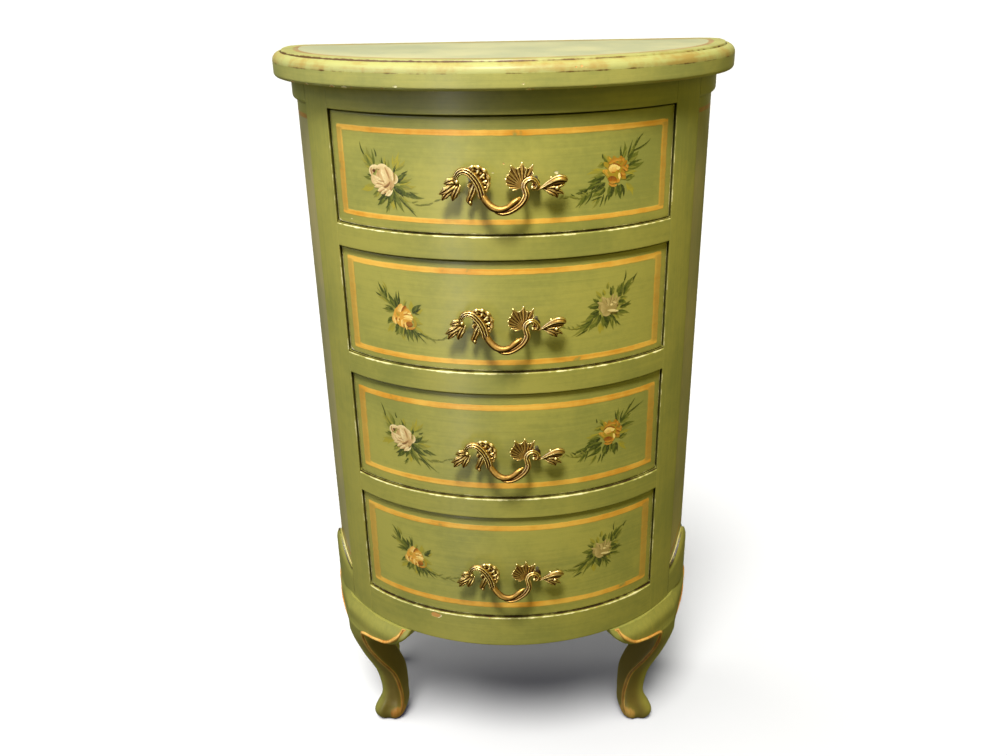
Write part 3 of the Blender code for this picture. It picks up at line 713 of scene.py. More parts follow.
def top_ring(inset, back_inset):
    """Plan of the top moved in by an inset: half an ellipse, then rounded corners and the back."""
    half = HALF_WIDTH + TOP_OVERHANG - inset
    depth = BOW_DEPTH + TOP_OVERHANG - inset
    back = BACK_RUN - back_inset
    radius = max(min(TOP_CORNER, back), 0.004)
    angle = np.linspace(-math.pi / 2, math.pi / 2, 141)
    front = np.stack([half * np.sin(angle), -depth * np.cos(angle)], 1)
    turn = np.linspace(0, math.pi / 2, 9)[1:]
    right = np.stack([half - radius * (1 - np.cos(turn)), back - radius * (1 - np.sin(turn))], 1)
    across = np.linspace(half - radius, radius - half, 30)[1:-1]
    rear = np.stack([across, np.full(len(across), back)], 1)
    left = right[::-1] * np.array([-1, 1])
    return np.vstack([front, right, rear, left]) + np.array([0, PLAN_Y])


def top_rows(thick, band):
    """Profile of the top, as inset and height: lower edge, band, quarter round, groove and flat."""
    turn = np.linspace(0, math.pi / 2, 9)
    lower = np.stack([EDGE_EASE * (1 - np.sin(turn)), EDGE_EASE * (1 - np.cos(turn))], 1)
    upright = np.stack([np.zeros(5), np.linspace(EDGE_EASE, band - 0.0006, 6)[1:]], 1)
    bead = np.stack([MOULD_RADIUS * (1 - np.cos(turn)), band + MOULD_RADIUS * np.sin(turn)], 1)
    groove = [(0.0096, thick - 0.0026), (0.0099, thick - 0.0012), (FLAT_START, thick)]
    flat = [(inset, thick) for inset in FLAT_INSETS]
    return np.vstack([[(0.03, 0.0)], lower, upright, bead, groove, flat])


def add_top():
    """A ring of the plan for each inset and height of the profile. On the flat the back edge moves in
    too, as far as its stripe."""
    low, high = heights("top")
    thick = high - low
    band = thick - 0.011
    rows = top_rows(thick, band)
    on_flat = rows[:, 1] > thick - 1e-6
    rings = []
    for (inset, z), is_flat in zip(rows, on_flat):
        ring = top_ring(inset, min(max(inset - FLAT_START, 0.0), BACK_STRIPE) if is_flat else 0.0)
        rings.append(np.column_stack([ring, np.full(len(ring), low + z)]))
    grid = np.array(rings)
    moulded = (rows[:, 1] > band - 1e-4) & (rows[:, 1] < thick - 1e-4)
    border = on_flat & (rows[:, 0] < STRIPE_INSET)
    arris = gap_to(rows, (EDGE_EASE * 0.3, EDGE_EASE * 0.3)) - 0.5
    edge = np.where(moulded, -0.8, np.where(border, 0.7, arris))[:, None]
    line = np.where(on_flat, (STRIPE_INSET - rows[:, 0]) * 1000, FAR)[:, None]
    seam = gap_to(rows, (0.0, band - ARRIS))[:, None] + 0.95
    groove = gap_to(rows, (GROOVE_INSET, thick - GROOVE_DROP))[:, None]
    leftness = np.clip(-grid[..., 0] / 0.12, -1, 1)
    dirt_and_shade = np.minimum(groove * 0.9 + 0.25 - 0.35 * leftness, seam)
    places = [(x, 0.0, low + z) for x, z in TOP_CHIPS]
    chip = np.where(grid[..., 1] < 0, chip_gap(grid, places, 1.5), FAR)
    add_painted("top", [marked(grid, edge, line, dirt_and_shade, chip)], top_paint)
    print("top rings", len(rows))


add_top()

# %% [markdown]
# ## Legs
# A cabriole leg is sawn from a square blank and rounded over, so its section stays a square with
# soft corners while it swings in to the ankle and out again to the pad. Two ears spread
# from the knee along the rails. Stations of the leg are joined by smooth rows, and at each row
# the section |u|^p + |v|^p = 1 is laid along the bow. The gilt line follows the section's corner
# up the shaft and out along the ear, as the brush did.

# %% Front and back legs
# Height, shift along the bow, inset, half depth, front reach, side reach, roundness, twist
FRONT_LEG = [
    (0.0, 0.0135, 0.0325, 0.0122, 0.0122, 0.0122, 0.80, 45),
    (0.003, 0.0135, 0.0325, 0.0172, 0.0172, 0.0172, 0.74, 45),
    (0.009, 0.0136, 0.0326, 0.0208, 0.0208, 0.0208, 0.68, 45),
    (0.017, 0.0144, 0.0333, 0.0222, 0.0222, 0.0222, 0.64, 45),
    (0.027, 0.0166, 0.0354, 0.0208, 0.0208, 0.0208, 0.62, 45),
    (0.040, 0.0192, 0.0374, 0.0176, 0.0176, 0.0176, 0.58, 43),
    (0.058, 0.0207, 0.0379, 0.0161, 0.0161, 0.0161, 0.54, 36),
    (0.0865, 0.0188, 0.0345, 0.0172, 0.0172, 0.0172, 0.50, 25),
    (0.115, 0.0132, 0.0240, 0.0196, 0.0196, 0.0196, 0.46, 12),
    (0.1415, 0.0055, 0.0140, 0.0195, 0.0244, 0.0244, 0.46, 3),
    (0.168, 0.0, 0.0060, 0.0160, 0.0321, 0.0300, 0.40, 0),
    (0.1755, 0.0, 0.0060, 0.0160, 0.0640, 0.0600, 0.30, 0),
    (0.1806, 0.0, 0.0060, 0.0160, 0.0835, 0.0780, 0.26, 0),
    (0.1953, 0.0, 0.0060, 0.0160, 0.0995, 0.0930, 0.24, 0),
    (0.2097, 0.0, 0.00925, 0.01275, 0.1070, 0.1000, 0.24, 0),
]
TANGENT = math.hypot(HALF_WIDTH * math.cos(SEAM), BOW_DEPTH * math.sin(SEAM))
FOOT_TOP, EAR_LOW = 0.012, 0.158
GILT_CORNER, INNER_CORNER = 7, 5  # corners of the section that carry a bead, in eighths of a turn
BEAD_RADIUS = 0.0013


def soft_square(turn, roundness, twist=0.0):
    """Square with soft corners: the sign of cos and sin, each to the power of the roundness,
    turned about its middle by the twist."""
    u, v = np.cos(turn), np.sin(turn)
    u, v = np.sign(u) * np.abs(u) ** roundness, np.sign(v) * np.abs(v) ** roundness
    return u * np.cos(twist) - v * np.sin(twist), u * np.sin(twist) + v * np.cos(twist)


def leg_place(hand, rows, across, into, lift=0.0):
    """Points of the leg: across runs along the bow to the front, into runs inwards."""
    height, shift, inset, depth, front, side = rows.T[:6, :, None]
    reach = shift + across * np.where(across > 0, front, side)
    flat = np.clip(-across * 1.6, 0, 1) * np.clip((height - 0.150) / 0.03, 0, 1)
    x, y = bow(SEAM - reach / TANGENT, inset + into * depth * (1 - 0.4 * flat * (into < 0)))
    return grid_of(hand * x, y, height + lift)


def tube(path, radius, outward, turns=14):
    """Round bead along a path; the section starts from an outward direction."""
    along = unit(np.gradient(path, axis=0))
    face = unit(outward - along * (along @ outward)[:, None])
    side = np.cross(along, face)
    turn = np.linspace(0, math.tau, turns, endpoint=False)[None, :, None]
    ring = side[:, None] * np.cos(turn) + face[:, None] * np.sin(turn)
    return path[:, None] + radius[:, None, None] * ring


def leg_bead(hand, rows, corner):
    """The moulded arris: the section's corner on the shaft, and the lip of the ear above it."""
    gilt = corner == GILT_CORNER
    rows = rows[rows[:, 0] > (FOOT_TOP if gilt else EAR_LOW)]
    height = rows[:, :1]
    turn = np.array([[corner * math.pi / 4]])
    across, into = soft_square(turn, rows[:, 6:7], np.radians(rows[:, 7:8]))
    ear = np.clip((height - EAR_LOW) / 0.014, 0, 1)
    path = leg_place(hand, rows, across, into * (1 - ear) - ear * 0.98, 0.0028 * ear)[:, 0]
    path[:, 2] = np.minimum(path[:, 2], rows[-1, 0])
    share = np.linspace(0, 1, len(path))
    taper = np.clip(np.minimum(share, 1 - share) * 12, 0.25, 1)
    radius = (BEAD_RADIUS + (0.0005 if gilt else -0.0004) * ear[:, 0]) * taper
    grid = tube(path, radius, np.array([hand * math.sin(SEAM), -math.cos(SEAM), 0.0]))
    # On the shaft the bead's low third mark darkens its gilt with the painted shade; on the ear it stays
    # bright
    return marked(grid, line=0.0, dirt_and_shade=2.0 + 7 * ear), path


def front_leg_skins(hand):
    """Soft squares on smooth rows, the foot narrowed by a crease, 1 - 0.13 exp(-(turn / 0.2)^2), and
    the two beads. Below the ear the side towards the drawers gets a painted shade, less on the gilt
    line, and the soles are dirty."""
    rows = smooth_rows(FRONT_LEG, 10)
    turn = np.linspace(0, math.tau, 96, endpoint=False)[None]
    across, into = soft_square(turn, rows[:, 6:7], np.radians(rows[:, 7:8]))
    foot = np.clip((0.050 - rows[:, :1]) / 0.03, 0, 1)
    crease = 1 - 0.13 * foot * np.exp(-(((turn - 1.5 * math.pi) / 0.2) ** 2))
    grid = leg_place(hand, rows, across * crease, into * crease)
    beads = [leg_bead(hand, rows, corner) for corner in (GILT_CORNER, INNER_CORNER)]
    toe = beads[0][1][:1]
    line = gap_to(grid, np.vstack([path for _, path in beads]))
    line = np.minimum(line, gap_to(grid, toe) * 0.2)
    # Painted shade: the shaft's side towards the drawers, below the knee, is darkened in its colour
    inner = np.clip((across / np.hypot(across, into) + 0.25) / 0.9, 0, 1)
    inner = inner * np.clip((0.166 - rows[:, :1]) / 0.02, 0, 1)
    spared = np.clip(1.6 - line / 3, 0, 1)
    shadow_and_dirt = np.where(grid[..., 2] < 0.002, 0.6, 8.0 - 6 * inner * (1 - 0.6 * spared))
    return [marked(grid, line=line + 0.3, dirt_and_shade=shadow_and_dirt), *(skin for skin, _ in beads)]


def back_leg_skins(hand):
    """Soft squares on smooth rows that swing in from the knee to the foot."""
    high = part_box("back_leg_right")[1]
    middle = PLAN_Y + (SIDE_STRAIGHT + BACK_RUN) / 2
    knee, foot = 0.228, 0.185
    swing = knee - foot
    rows = smooth_rows(
        [
            (0.0, foot, 0.0085),
            (0.002, foot, 0.0098),
            (0.013, foot, 0.0100),
            (0.058, foot, 0.0090),
            (0.115, knee - swing * 0.55, 0.0109),
            (0.168, knee - swing * 0.08, 0.0116),
            (high.z, knee, 0.0108),
        ],
        9,
    )
    height, x, half = rows.T[:, :, None]
    u, v = soft_square(np.linspace(0, math.tau, 48, endpoint=False)[None], 0.5)
    grid = grid_of(hand * (x + half * u), middle + half * v, height)
    return [marked(grid, dirt_and_shade=np.where(grid[..., 2] < 0.002, 0.6, FAR))]


def add_legs():
    """A front leg and a back leg on each side."""
    for side, hand in SIDES:
        add_painted(f"front_leg_{side}", front_leg_skins(hand), leg_paint)
        add_painted(f"back_leg_{side}", back_leg_skins(hand), leg_paint)
    print("legs", 2 * len(SIDES))


add_legs()

# %% [markdown]
# ## Drawer fronts
# Each front is a bowed board with its edges eased all round and a groove behind for the drawer
# bottom, which stops where the bottom does, so that it can't be seen from the side. The
# section is carried across x, and at both ends it is drawn in along a quarter
# circle, so the upright edges are eased like the others. The gilt frame is a painted line, so
# it is a distance on the mesh and not a shape: the gap to a rectangle.

# %% Drawer fronts
FRONT_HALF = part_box("drawer_1_front")[1].x
FRONT_EASE, GROOVE_EASE = 0.0013, 0.0004
GROOVE = (0.0065, 0.0125, 0.0052)  # bottom and top above the drawer's lower edge, and depth
GROOVE_LEFT = 0.02  # share of its depth left past the end, so that no faces fall together
FRAME_X = 0.167
FRAME_BROAD = 680  # below 1000 a metre, the upright strokes of a frame are broader than the level ones
FRONT_CHIPS = [(-0.0081, 0, 0.0052), (0.0543, 0, 0.0028), (0.003, 0, 0.0132), (-0.1605, 0, -0.053)]
FRAME_WIDTHS = {1: 1.08, 2: 1.22, 3: 1.33, 4: 1.4}  # the frames get broader from drawer to drawer
FRAME_DULL = {1: 3.2, 2: 3.3, 3: 3.2, 4: 2.7}  # dirt mark of the upright strokes
FRAME_HEIGHTS = {1: (0.739, 0.827), 2: (0.586, 0.687), 3: (0.434, 0.532), 4: (0.268, 0.377)}


def eased_ends(half, ease, count):
    """Stations from end to end: x, and how far the section is drawn in near the ends."""
    turn = np.linspace(0, math.pi / 2, 6)[1:]
    end, pull = half - ease * (1 - np.sin(turn)), ease * (1 - np.cos(turn))
    x = np.concatenate([-end[::-1], np.linspace(ease - half, half - ease, count), end])
    return x, np.concatenate([pull[::-1], np.zeros(count), pull])


def front_arc(x):
    """Length along the drawer's face from its middle out to x."""
    fine = np.linspace(0, FRONT_HALF, 400)
    steps = np.hypot(np.diff(fine), np.diff(bow_y(fine, FRONT_RECESS)))
    return np.sign(x) * np.interp(np.abs(x), fine, np.concatenate([[0], np.cumsum(steps)]))


def frame_gap(x, z, number):
    """Signed millimetres to a rectangle, negative inside it: the larger of the two overhangs, which
    shrink where the strokes are broad. The second result is the dirt mark of the dull upright strokes."""
    low, high = FRAME_HEIGHTS[number]
    across = (np.abs(front_arc(x)) - front_arc(np.array(FRAME_X))) * FRAME_BROAD / FRAME_WIDTHS[number]
    up = (np.abs(z - (low + high) / 2) - (high - low) / 2) * 1000 / FRAME_WIDTHS[number]
    beside = np.clip((np.abs(across) - 2.0) / 2, 0, 1) + np.clip((up + 1) / 2, 0, 1)
    return np.maximum(across, up), FRAME_DULL[number] + 6 * beside


def front_outline(low, high):
    """Section of a front with its groove, and which of its points lie in the groove."""
    front, back = FRONT_RECESS, FRONT_RECESS + FRONT_THICKNESS
    floor, sill, roof = back - GROOVE[2], low + GROOVE[0], low + GROOVE[1]
    ease, tight = FRONT_EASE, GROOVE_EASE
    outline = eased_outline(
        [
            (front, low, ease),
            (front, high, ease),
            (back, high, ease),
            (back, roof, tight),
            (floor, roof, tight),
            (floor, sill, tight),
            (back, sill, tight),
            (back, low, ease),
        ],
        0.0022,
    )
    level = (outline[:, 1] > sill - 0.001) & (outline[:, 1] < roof + 0.001)
    return outline, level & (outline[:, 0] > floor - tight)


def front_skin(number):
    """Section carried across x on the bow and drawn in along its normals at both ends; past the ends
    of the drawer bottom the groove's points lie at the back face."""
    low, high = heights(f"drawer_{number}_front")
    front, back = FRONT_RECESS, FRONT_RECESS + FRONT_THICKNESS
    outline, grooved = front_outline(low, high)
    x, pull = (row[:, None] for row in eased_ends(FRONT_HALF, FRONT_EASE, 111))
    stopped = grooved & (np.abs(x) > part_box(f"drawer_{number}_bottom")[1].x)
    depth, height = outline.T
    normal = inward(outline)
    inset = np.where(stopped, back - GROOVE_LEFT * (back - depth), depth)
    inset = inset + pull * np.where(stopped, -1, normal[:, 0])
    z = height + pull * np.where(stopped, 0, normal[:, 1])
    grid = grid_of(x, bow_y(x, inset), z)
    level = gap_to(outline, (front + 4e-4, low + 4e-4))
    ends = np.hypot(FRONT_HALF - 4e-4 - np.abs(x), inset - front - 4e-4) * 1000
    faced = inset < front + 0.0015
    line, dull = (np.where(faced, mark, FAR) for mark in frame_gap(x, z, number))
    places = np.array(FRONT_CHIPS) + np.array([0, 0, (low + high) / 2])
    chip = np.where(faced & (number == 1), chip_gap(grid, places, 1.1), FAR)
    return marked(grid, np.minimum(level, ends), line, dull, chip)


for number in DRAWERS:
    mesh = add_painted(f"drawer_{number}_front", [front_skin(number)], drawer_paint, f"drawer_{number}")
print("drawer fronts", len(DRAWERS), "points each", len(mesh.vertices))

# %% [markdown]
# ## Rose sprays
# A decorator paints such a spray stroke by stroke with a loaded brush: long leaves first,
# then a round of petals, and last the bright touches. Here too every stroke is its own thin
# ridge of paint. A stroke is a curve with a width that swells and tapers, its section is a flat
# lens, and its colour runs from a dark edge to a light one. The layout is a common one
# for painted furniture: leaves fan out behind a rose, and a sprig trails towards the pull.

# %% Strokes
STROKE_ROWS, STROKE_COLS = 11, 10
STROKE_RISE, FIRST_LIFT, NEXT_LIFT = 0.00001, 0.00006, 0.000004  # metres above the face
LEAF_TONES = [(50, 60, 10), (80, 90, 18), (110, 114, 34), (142, 138, 54), (166, 154, 44)]
# Deep, middle, light, hollow and olive tones of the four ways a rose is painted
ROSE_TONES = {
    "cup": {"d": (178, 132, 76), "m": (212, 176, 112), "l": (244, 222, 158), "h": (96, 50, 16)},
    "fan": {"d": (168, 144, 80), "m": (200, 176, 108), "l": (240, 218, 146), "h": (96, 80, 24)},
    "split": {"d": (176, 108, 16), "m": (222, 160, 54), "l": (255, 222, 124), "h": (134, 62, 8)},
}
ROSE_TONES["split"]["o"] = (170, 140, 30)
ROSE_TONES["round"] = ROSE_TONES["split"]
# Strokes of a rose in the order they are painted, in millimetres from its middle: start, bend, end,
# width and the tones of the two edges
ROSE_STROKES = {
    "cup": [
        (-10, -1, 0, -0.5, 12, -1, 25, "mm"), (-13, 3, -15, 13, -5, 13.5, 6, "ml"),
        (-7, 11, -1, 16, 5, 12, 6, "ml"), (-12.5, 5, -12, -3, -7, -6, 6, "ml"),
        (-12, 4.5, -9, -1, -2, 0.5, 5, "ml"), (-3, 12.5, 4, 5, 2, -5, 8, "lm"),
        (-2.8, 8.5, -0.5, 6, 0.2, 2.5, 2.6, "ll"), (2, 14, 9.5, 9.5, 9.3, 0.5, 5, "ml"),
        (1.2, 13.5, 5.4, 6.5, 5.7, 0.8, 1.8, "dd"), (13.2, 7.4, 15.4, 0.8, 11.2, -3.8, 3, "ml"),
        (10.4, 9, 11.4, 4, 10.6, -2, 1.2, "dd"), (5.7, -0.8, 9.5, -2.4, 7.3, -7, 5.5, "dm"),
        (-0.4, -4, -5, -2, -9.6, -1.2, 4, "lm"), (-2, -5.6, -6, -6, -11, -7.8, 3.4, "lm"),
        (0, -7.6, -3.5, -9, -8, -12, 3.4, "lm"), (2.8, -8.8, -0.5, -11, -4.4, -14.6, 3.4, "lm"),
        (6.2, -9.6, 4, -13, 0.6, -15.6, 3.4, "lm"), (9, -9.2, 7, -14.4, 2, -15.6, 2, "ll"),
        (-0.4, -9.2, -3, -10.4, -6.4, -13, 1.3, "dd"), (2, -10.6, 0.4, -12, -1.6, -14.4, 1.3, "dd"),
        (-1, -5.2, -4, -4.4, -9, -4.4, 1.3, "dd"), (-6, -0.8, -3, -1.6, 1, -1.4, 1.1, "dd"),
        (-1.6, -6.8, 3.4, -7, 6.2, -1.4, 2.5, "hd"), (6.4, -6.8, 7.2, -8, 7, -9.8, 2, "dd"),
        (-7, 10.6, -4.6, 7, -5.4, 3, 2.2, "dm"), (-13.2, 12, -14.6, 8.8, -12, 4.6, 1.6, "dd"),
        (-11.8, 8.2, -10.2, 9.4, -8.6, 8.6, 3.2, "hh"),
    ],
    "fan": [
        (-11, -2, 0, -1, 11.5, -2, 18, "dd"), (1, -3, 7, 0, 13, 3.6, 3.6, "dm"),
        (1, -2, 5, 4, 8, 10, 3.4, "dm"), (1, -2, 3, 4, 5, 8.4, 3.2, "dm"),
        (0.5, -2, 1.4, 3, 1.6, 7, 3.4, "mm"), (-1, -2, -2, 5, -5, 11.5, 3, "dm"),
        (-2, -2, -6, 3, -8.4, 8.6, 2.8, "dm"), (-3, -3, -8, 1, -12, 6.8, 2.8, "dm"),
        (6.2, 3.4, 5.2, -3, 6.8, -9.8, 6, "dm"), (6.8, -9.6, 2.4, -12.4, -2, -10.6, 4, "dm"),
        (3.4, 6.6, 2.6, 3, 1.8, 0, 0.9, "hd"), (-3.4, 8.6, -2, 4, -0.6, 0, 0.9, "hd"),
        (-7, 5.6, -4.6, 2, -2, -0.6, 0.9, "hd"), (1.4, -7.2, -5, -8, -11, -9.2, 2.8, "ll"),
        (-1.4, -0.6, -3, -0.6, -4.6, -1, 2.6, "ll"), (-4.4, 2.8, -6, 1.6, -8.8, 0, 1.9, "ml"),
        (-9, -2.2, -9.8, -2.6, -10.6, -3.4, 1.9, "hh"), (-2, -11.4, -6, -11.2, -10.2, -11.4, 1.8, "hh"),
    ],
    "split": [
        (-10.5, -0.5, 0, 0, 11, -1, 25, "mm"), (12, -0.8, 14.2, -6.4, 12.6, -12.6, 3.4, "oo"),
        (-0.6, 13.6, -3.6, 9, -4.6, 3.6, 5.8, "ml"), (4.4, 12.8, 0.8, 9, -1.6, 5, 2.8, "hd"),
        (5.4, 10.4, 3, 8.6, 1, 6.8, 2.2, "dm"), (5.6, 6.2, 3, 5, 0.6, 3.2, 2.8, "ml"),
        (9.6, 3.9, 7.4, 3.8, 5.4, 3.3, 2.6, "ll"), (-7, 3, -4.8, 2.4, -2.4, 1, 5.4, "om"),
        (-10.8, -1, -11.4, -6.4, -8, -10.6, 3.8, "ml"), (-7, -2.2, -8.2, -4, -7.8, -6, 2.2, "hd"),
        (-4.2, -1.6, -5.8, -4, -6.2, -7.4, 3, "ml"), (-3.4, -3.4, -4, -4.4, -4.2, -5.8, 1.8, "dd"),
        (-1.4, -3.4, -0.6, -8, -1, -12.6, 3.6, "lm"), (2.2, -6.4, 2.4, -10, 3.6, -15, 2.8, "lm"),
        (0.9, -8.6, 0.8, -11, 0.3, -13.2, 1.9, "dd"), (3, -8.2, 6.8, -8, 10.6, -8.6, 6.6, "hd"),
        (4.2, -12.6, 8.4, -14.2, 13.4, -11.2, 2.8, "dm"), (0.2, -3.6, 6.4, -0.6, 11, -3.4, 3.6, "ml"),
        (0.6, -0.2, 6.4, 2, 11.2, -0.6, 2.7, "ll"), (0.6, 1.6, 4.6, 3.4, 9, 1.6, 1.1, "dd"),
    ],
    "round": [
        (-10, -1, 0, 0, 10, -1, 21, "oo"), (3, 7, 5, 11, 7.6, 16.4, 5, "oo"),
        (0, 8, 0.6, 12, 1.6, 17, 5, "do"), (-4, 8, -5.4, 12, -6, 16, 5, "od"),
        (6, 5, 9, 8, 11.6, 11, 4.6, "oo"), (-6, 6, -9, 8, -12, 10.6, 4.6, "od"),
        (-6, 1, -10, 2, -14, 0.6, 4.6, "do"), (-5, -4, -9, -6, -11.4, -8, 4.2, "do"),
        (7, 1, 10, 1, 13, 2.4, 4.6, "om"), (6.6, 8.6, 1, 14.4, -6.6, 11, 3.4, "dm"),
        (4.4, 12.6, 5.4, 14, 6.8, 16, 1.2, "mm"), (-8, 13.8, -9.2, 11.6, -8.6, 9.2, 2.7, "dm"),
        (-11.4, 6.6, -13, 5, -13.8, 2.4, 2.6, "dm"), (7.6, 4.8, 1, 11.2, -6.2, 4.6, 2.8, "hd"),
        (-6.8, 4.6, -10, 3.6, -13, -0.4, 3, "dm"), (-6, -0.6, -9, -1.6, -11.4, -4, 2.8, "dm"),
        (-8.4, 2, -10, 1, -11.6, -1, 1.1, "hh"), (11, 3.4, 10, -1, 6, -3.4, 2.8, "mo"),
        (7, 3.4, 2, 3.6, -3, 3, 9, "lm"), (6.4, 4.4, 1, 8.4, -4.4, 4.6, 2.4, "ll"),
        (-1.2, 3, -3.2, 3.8, -6, 3.8, 3.6, "ll"), (4, 0.6, 2, 0, -1, 0.4, 1.2, "dd"),
        (-2.6, 1.2, -3.4, 0.8, -4, 0.4, 1.8, "dd"), (7, -5.4, 2.6, -6.6, -3, -8.2, 6.6, "hd"),
        (6, -8.4, 2, -10.6, -2, -9.6, 3, "dm"), (3.4, -4, 2.8, -4.6, 1.6, -5, 2.4, "hh"),
        (-1.6, -11, -3.8, -9.8, -5, -6.8, 3.4, "dm"), (-4, -1.4, -5.2, -4, -5.4, -8.2, 2.7, "ll"),
        (6.6, -10.4, 2, -14.4, -3, -12.8, 2.6, "dm"), (-6.4, -1.6, -7.4, -3.6, -7.2, -7, 1.6, "hd"),
    ],
}
# Leaves of each spray by root, tip, width and tone, and its thin lines by root and tip
SPRAY_LEAVES = {
    "cup": [
        (-17, 14, -23, 27, 5.6, 2), (-11, 15, -17, 31, 6.2, 2), (2, 12, -1, 23, 2.8, 0),
        (5, 14, 2, 25, 5.2, 3), (14, 11, 18, 29, 4.8, 4), (13, 10, 13, 23, 4.0, 3),
        (16, 12, 25, 23, 5.4, 3), (14, 9, 13, 15, 3.0, 0), (14, -2, 25, 8, 7.0, 0), (18, -2, 30, 4, 5.0, 2),
        (19, -4, 34, -4, 7.6, 3), (12, -6, 26, -16, 8.6, 0), (26, -13, 40, -15, 5.6, 1),
        (12, -12, 20, -32, 6.0, 1), (11, -11, 2, -25, 8.6, 0), (0, -14, -8, -25, 7.6, 0),
        (-8, -13, -13, -19, 5.0, 2), (-13, -6, -25, -12, 8.0, 4), (-12, 2, -22, 2, 6.0, 1),
        (9, -20, 8, -29, 6.0, 4), (5, -29, 0, -34, 3.0, 1), (-14, 11, -21, 16, 6.0, 2),
        (20, -18, 30, -28, 4.6, 2),
    ],
    "split": [
        (-8, 10, -15, 24, 7.0, 0), (-9, 9, -19, 18, 5.8, 1), (-11, 6, -21, 10, 5.2, 1),
        (-11, 5, -23, 5, 4.2, 1), (-20, 21, -27, 36, 4.6, 1), (-18, 15, -29, 22, 5.0, 2),
        (-19, 30, -21, 36, 3.6, 3), (-4, 13, -6, 27, 3.2, 0), (-12, -4, -19, -13, 7.0, 1),
        (-8, -12, -9, -23, 8.0, 1), (-2, -13, -1, -24, 7.4, 2), (-12, -13, -19, -22, 6.8, 4),
        (4, -13, 5, -27, 5.0, 0), (6, -13, 11, -29, 6.2, 1), (9, -14, 14, -27, 4.4, 0),
        (13, -14, 23, -18, 6.2, 3), (14, 6, 21, 15, 6.4, 0), (16, 5, 23, 10, 6.0, 4),
        (12, 8, 10, 18, 6.0, 4), (10, -1, 18, -3, 7.0, 4), (12, -6, 22, -7, 6.0, 3),
        (-2, -22, 1, -28, 5.6, 4), (2, 12, 4, 19, 4.0, 3), (22, -20, 32, -23, 4.0, 2),
    ],
    "round": [
        (-14, 15, -22, 31, 4.4, 1), (-10, 15, -9, 30, 5.0, 1), (-15, 11, -25, 19, 8.0, 1),
        (-15, 5, -31, 7, 6.6, 1), (12, -3, 26, -7, 7.0, 0), (16, -9, 30, -15, 7.6, 0),
        (11, -12, 27, -18, 5.0, 0), (12, -17, 25, -24, 7.0, 1), (3, -15, 6, -28, 9.4, 0),
        (-8, -15, -7, -29, 7.0, 0), (-14, -14, -20, -26, 6.0, 4), (-12, -10, -21, -6, 6.0, 1),
        (12, 2, 30, 0, 6.0, 3), (12, 12, 19, 7, 7.0, 2), (31, -17, 41, -18, 5.0, 0),
        (28, -20, 35, -31, 4.0, 1), (32, -21, 39, -31, 4.0, 1), (17, -28, 23, -35, 4.0, 2),
        (9, 13, 13, 20, 5.0, 2), (-12, -2, -24, -2, 5.0, 3), (-4, -15, -1, -25, 5.0, 1),
    ],
    "fan": [
        (12, 4, 18, 9, 5.0, 1), (12, -1, 23, 0, 9.0, 1), (13, -6, 20, -8, 6.0, 0),
        (11, -10, 25, -14, 6.0, 1), (9, -11, 19, -25, 8.0, 1), (5, -13, 2, -27, 10.4, 0),
        (1, -13, -3, -20, 3.4, 0), (-4, -13, -6, -31, 5.4, 1), (-8, -13, -12, -18, 6.0, 2),
        (-10, -11, -22, -14, 5.0, 1), (-14, -7, -25, -4, 4.0, 0), (-12, 1, -20, -2, 8.6, 1),
        (-14, 4, -22, 4, 5.0, 2), (-14, 7, -17, 23, 7.0, 1), (-18, 14, -26, 25, 5.6, 1),
        (-19, 8, -26, 21, 4.0, 1), (-10, 13, -12, 20, 4.0, 2), (-2, 11, -4, 20, 6.4, 1),
        (6, 11, 7, 18, 5.0, 3), (11, 10, 15, 17, 6.0, 3), (2, 20, 1, 25, 5.0, 3), (9, -24, 9, -32, 7.4, 4),
        (20, -14, 35, -24, 5.0, 1), (16, -18, 30, -31, 5.0, 2), (24, -20, 38, -30, 4.0, 2),
    ],
}
SPRAY_LINES = {
    "cup": [
        (-21, 24, -26, 40), (-6, 24, -8, 33), (16, -16, 38, -35), (19, -22, 34, -38), (28, -10, 40, -17),
        (20, 8, 27, 12),
    ],
    "split": [
        (-5, 14, -4, 28), (11, -15, 26, -31), (-20, 22, -27, 36), (14, 4, 19, 3), (14, -17, 30, -22),
        (-24, 18, -31, 22),
    ],
    "round": [
        (-18, 20, -37, 30), (14, -22, 27, -26), (14, 16, 15, 22), (40, -21, 45, -17), (11, -22, 15, -34),
        (6, -23, 9, -35), (-20, 24, -30, 38),
    ],
    "fan": [
        (-15, 22, -16, 34), (20, -16, 34, -20), (-26, 22, -31, 30), (24, -26, 36, -32), (-17, -5, -26, -1),
        (-9, -20, -14, -26),
    ],
}
# Sprays of each drawer, left and right: x and height of the rose, and how it is painted
SPRAYS = {
    1: ((-0.1196, 0.7774, "cup"), (0.1141, 0.7827, "round")),
    2: ((-0.1087, 0.6324, "split"), (0.1119, 0.6429, "fan")),
    3: ((-0.1185, 0.4825, "cup"), (0.1177, 0.4871, "round")),
    4: ((-0.1135, 0.3227, "split"), (0.1123, 0.3334, "fan")),
}


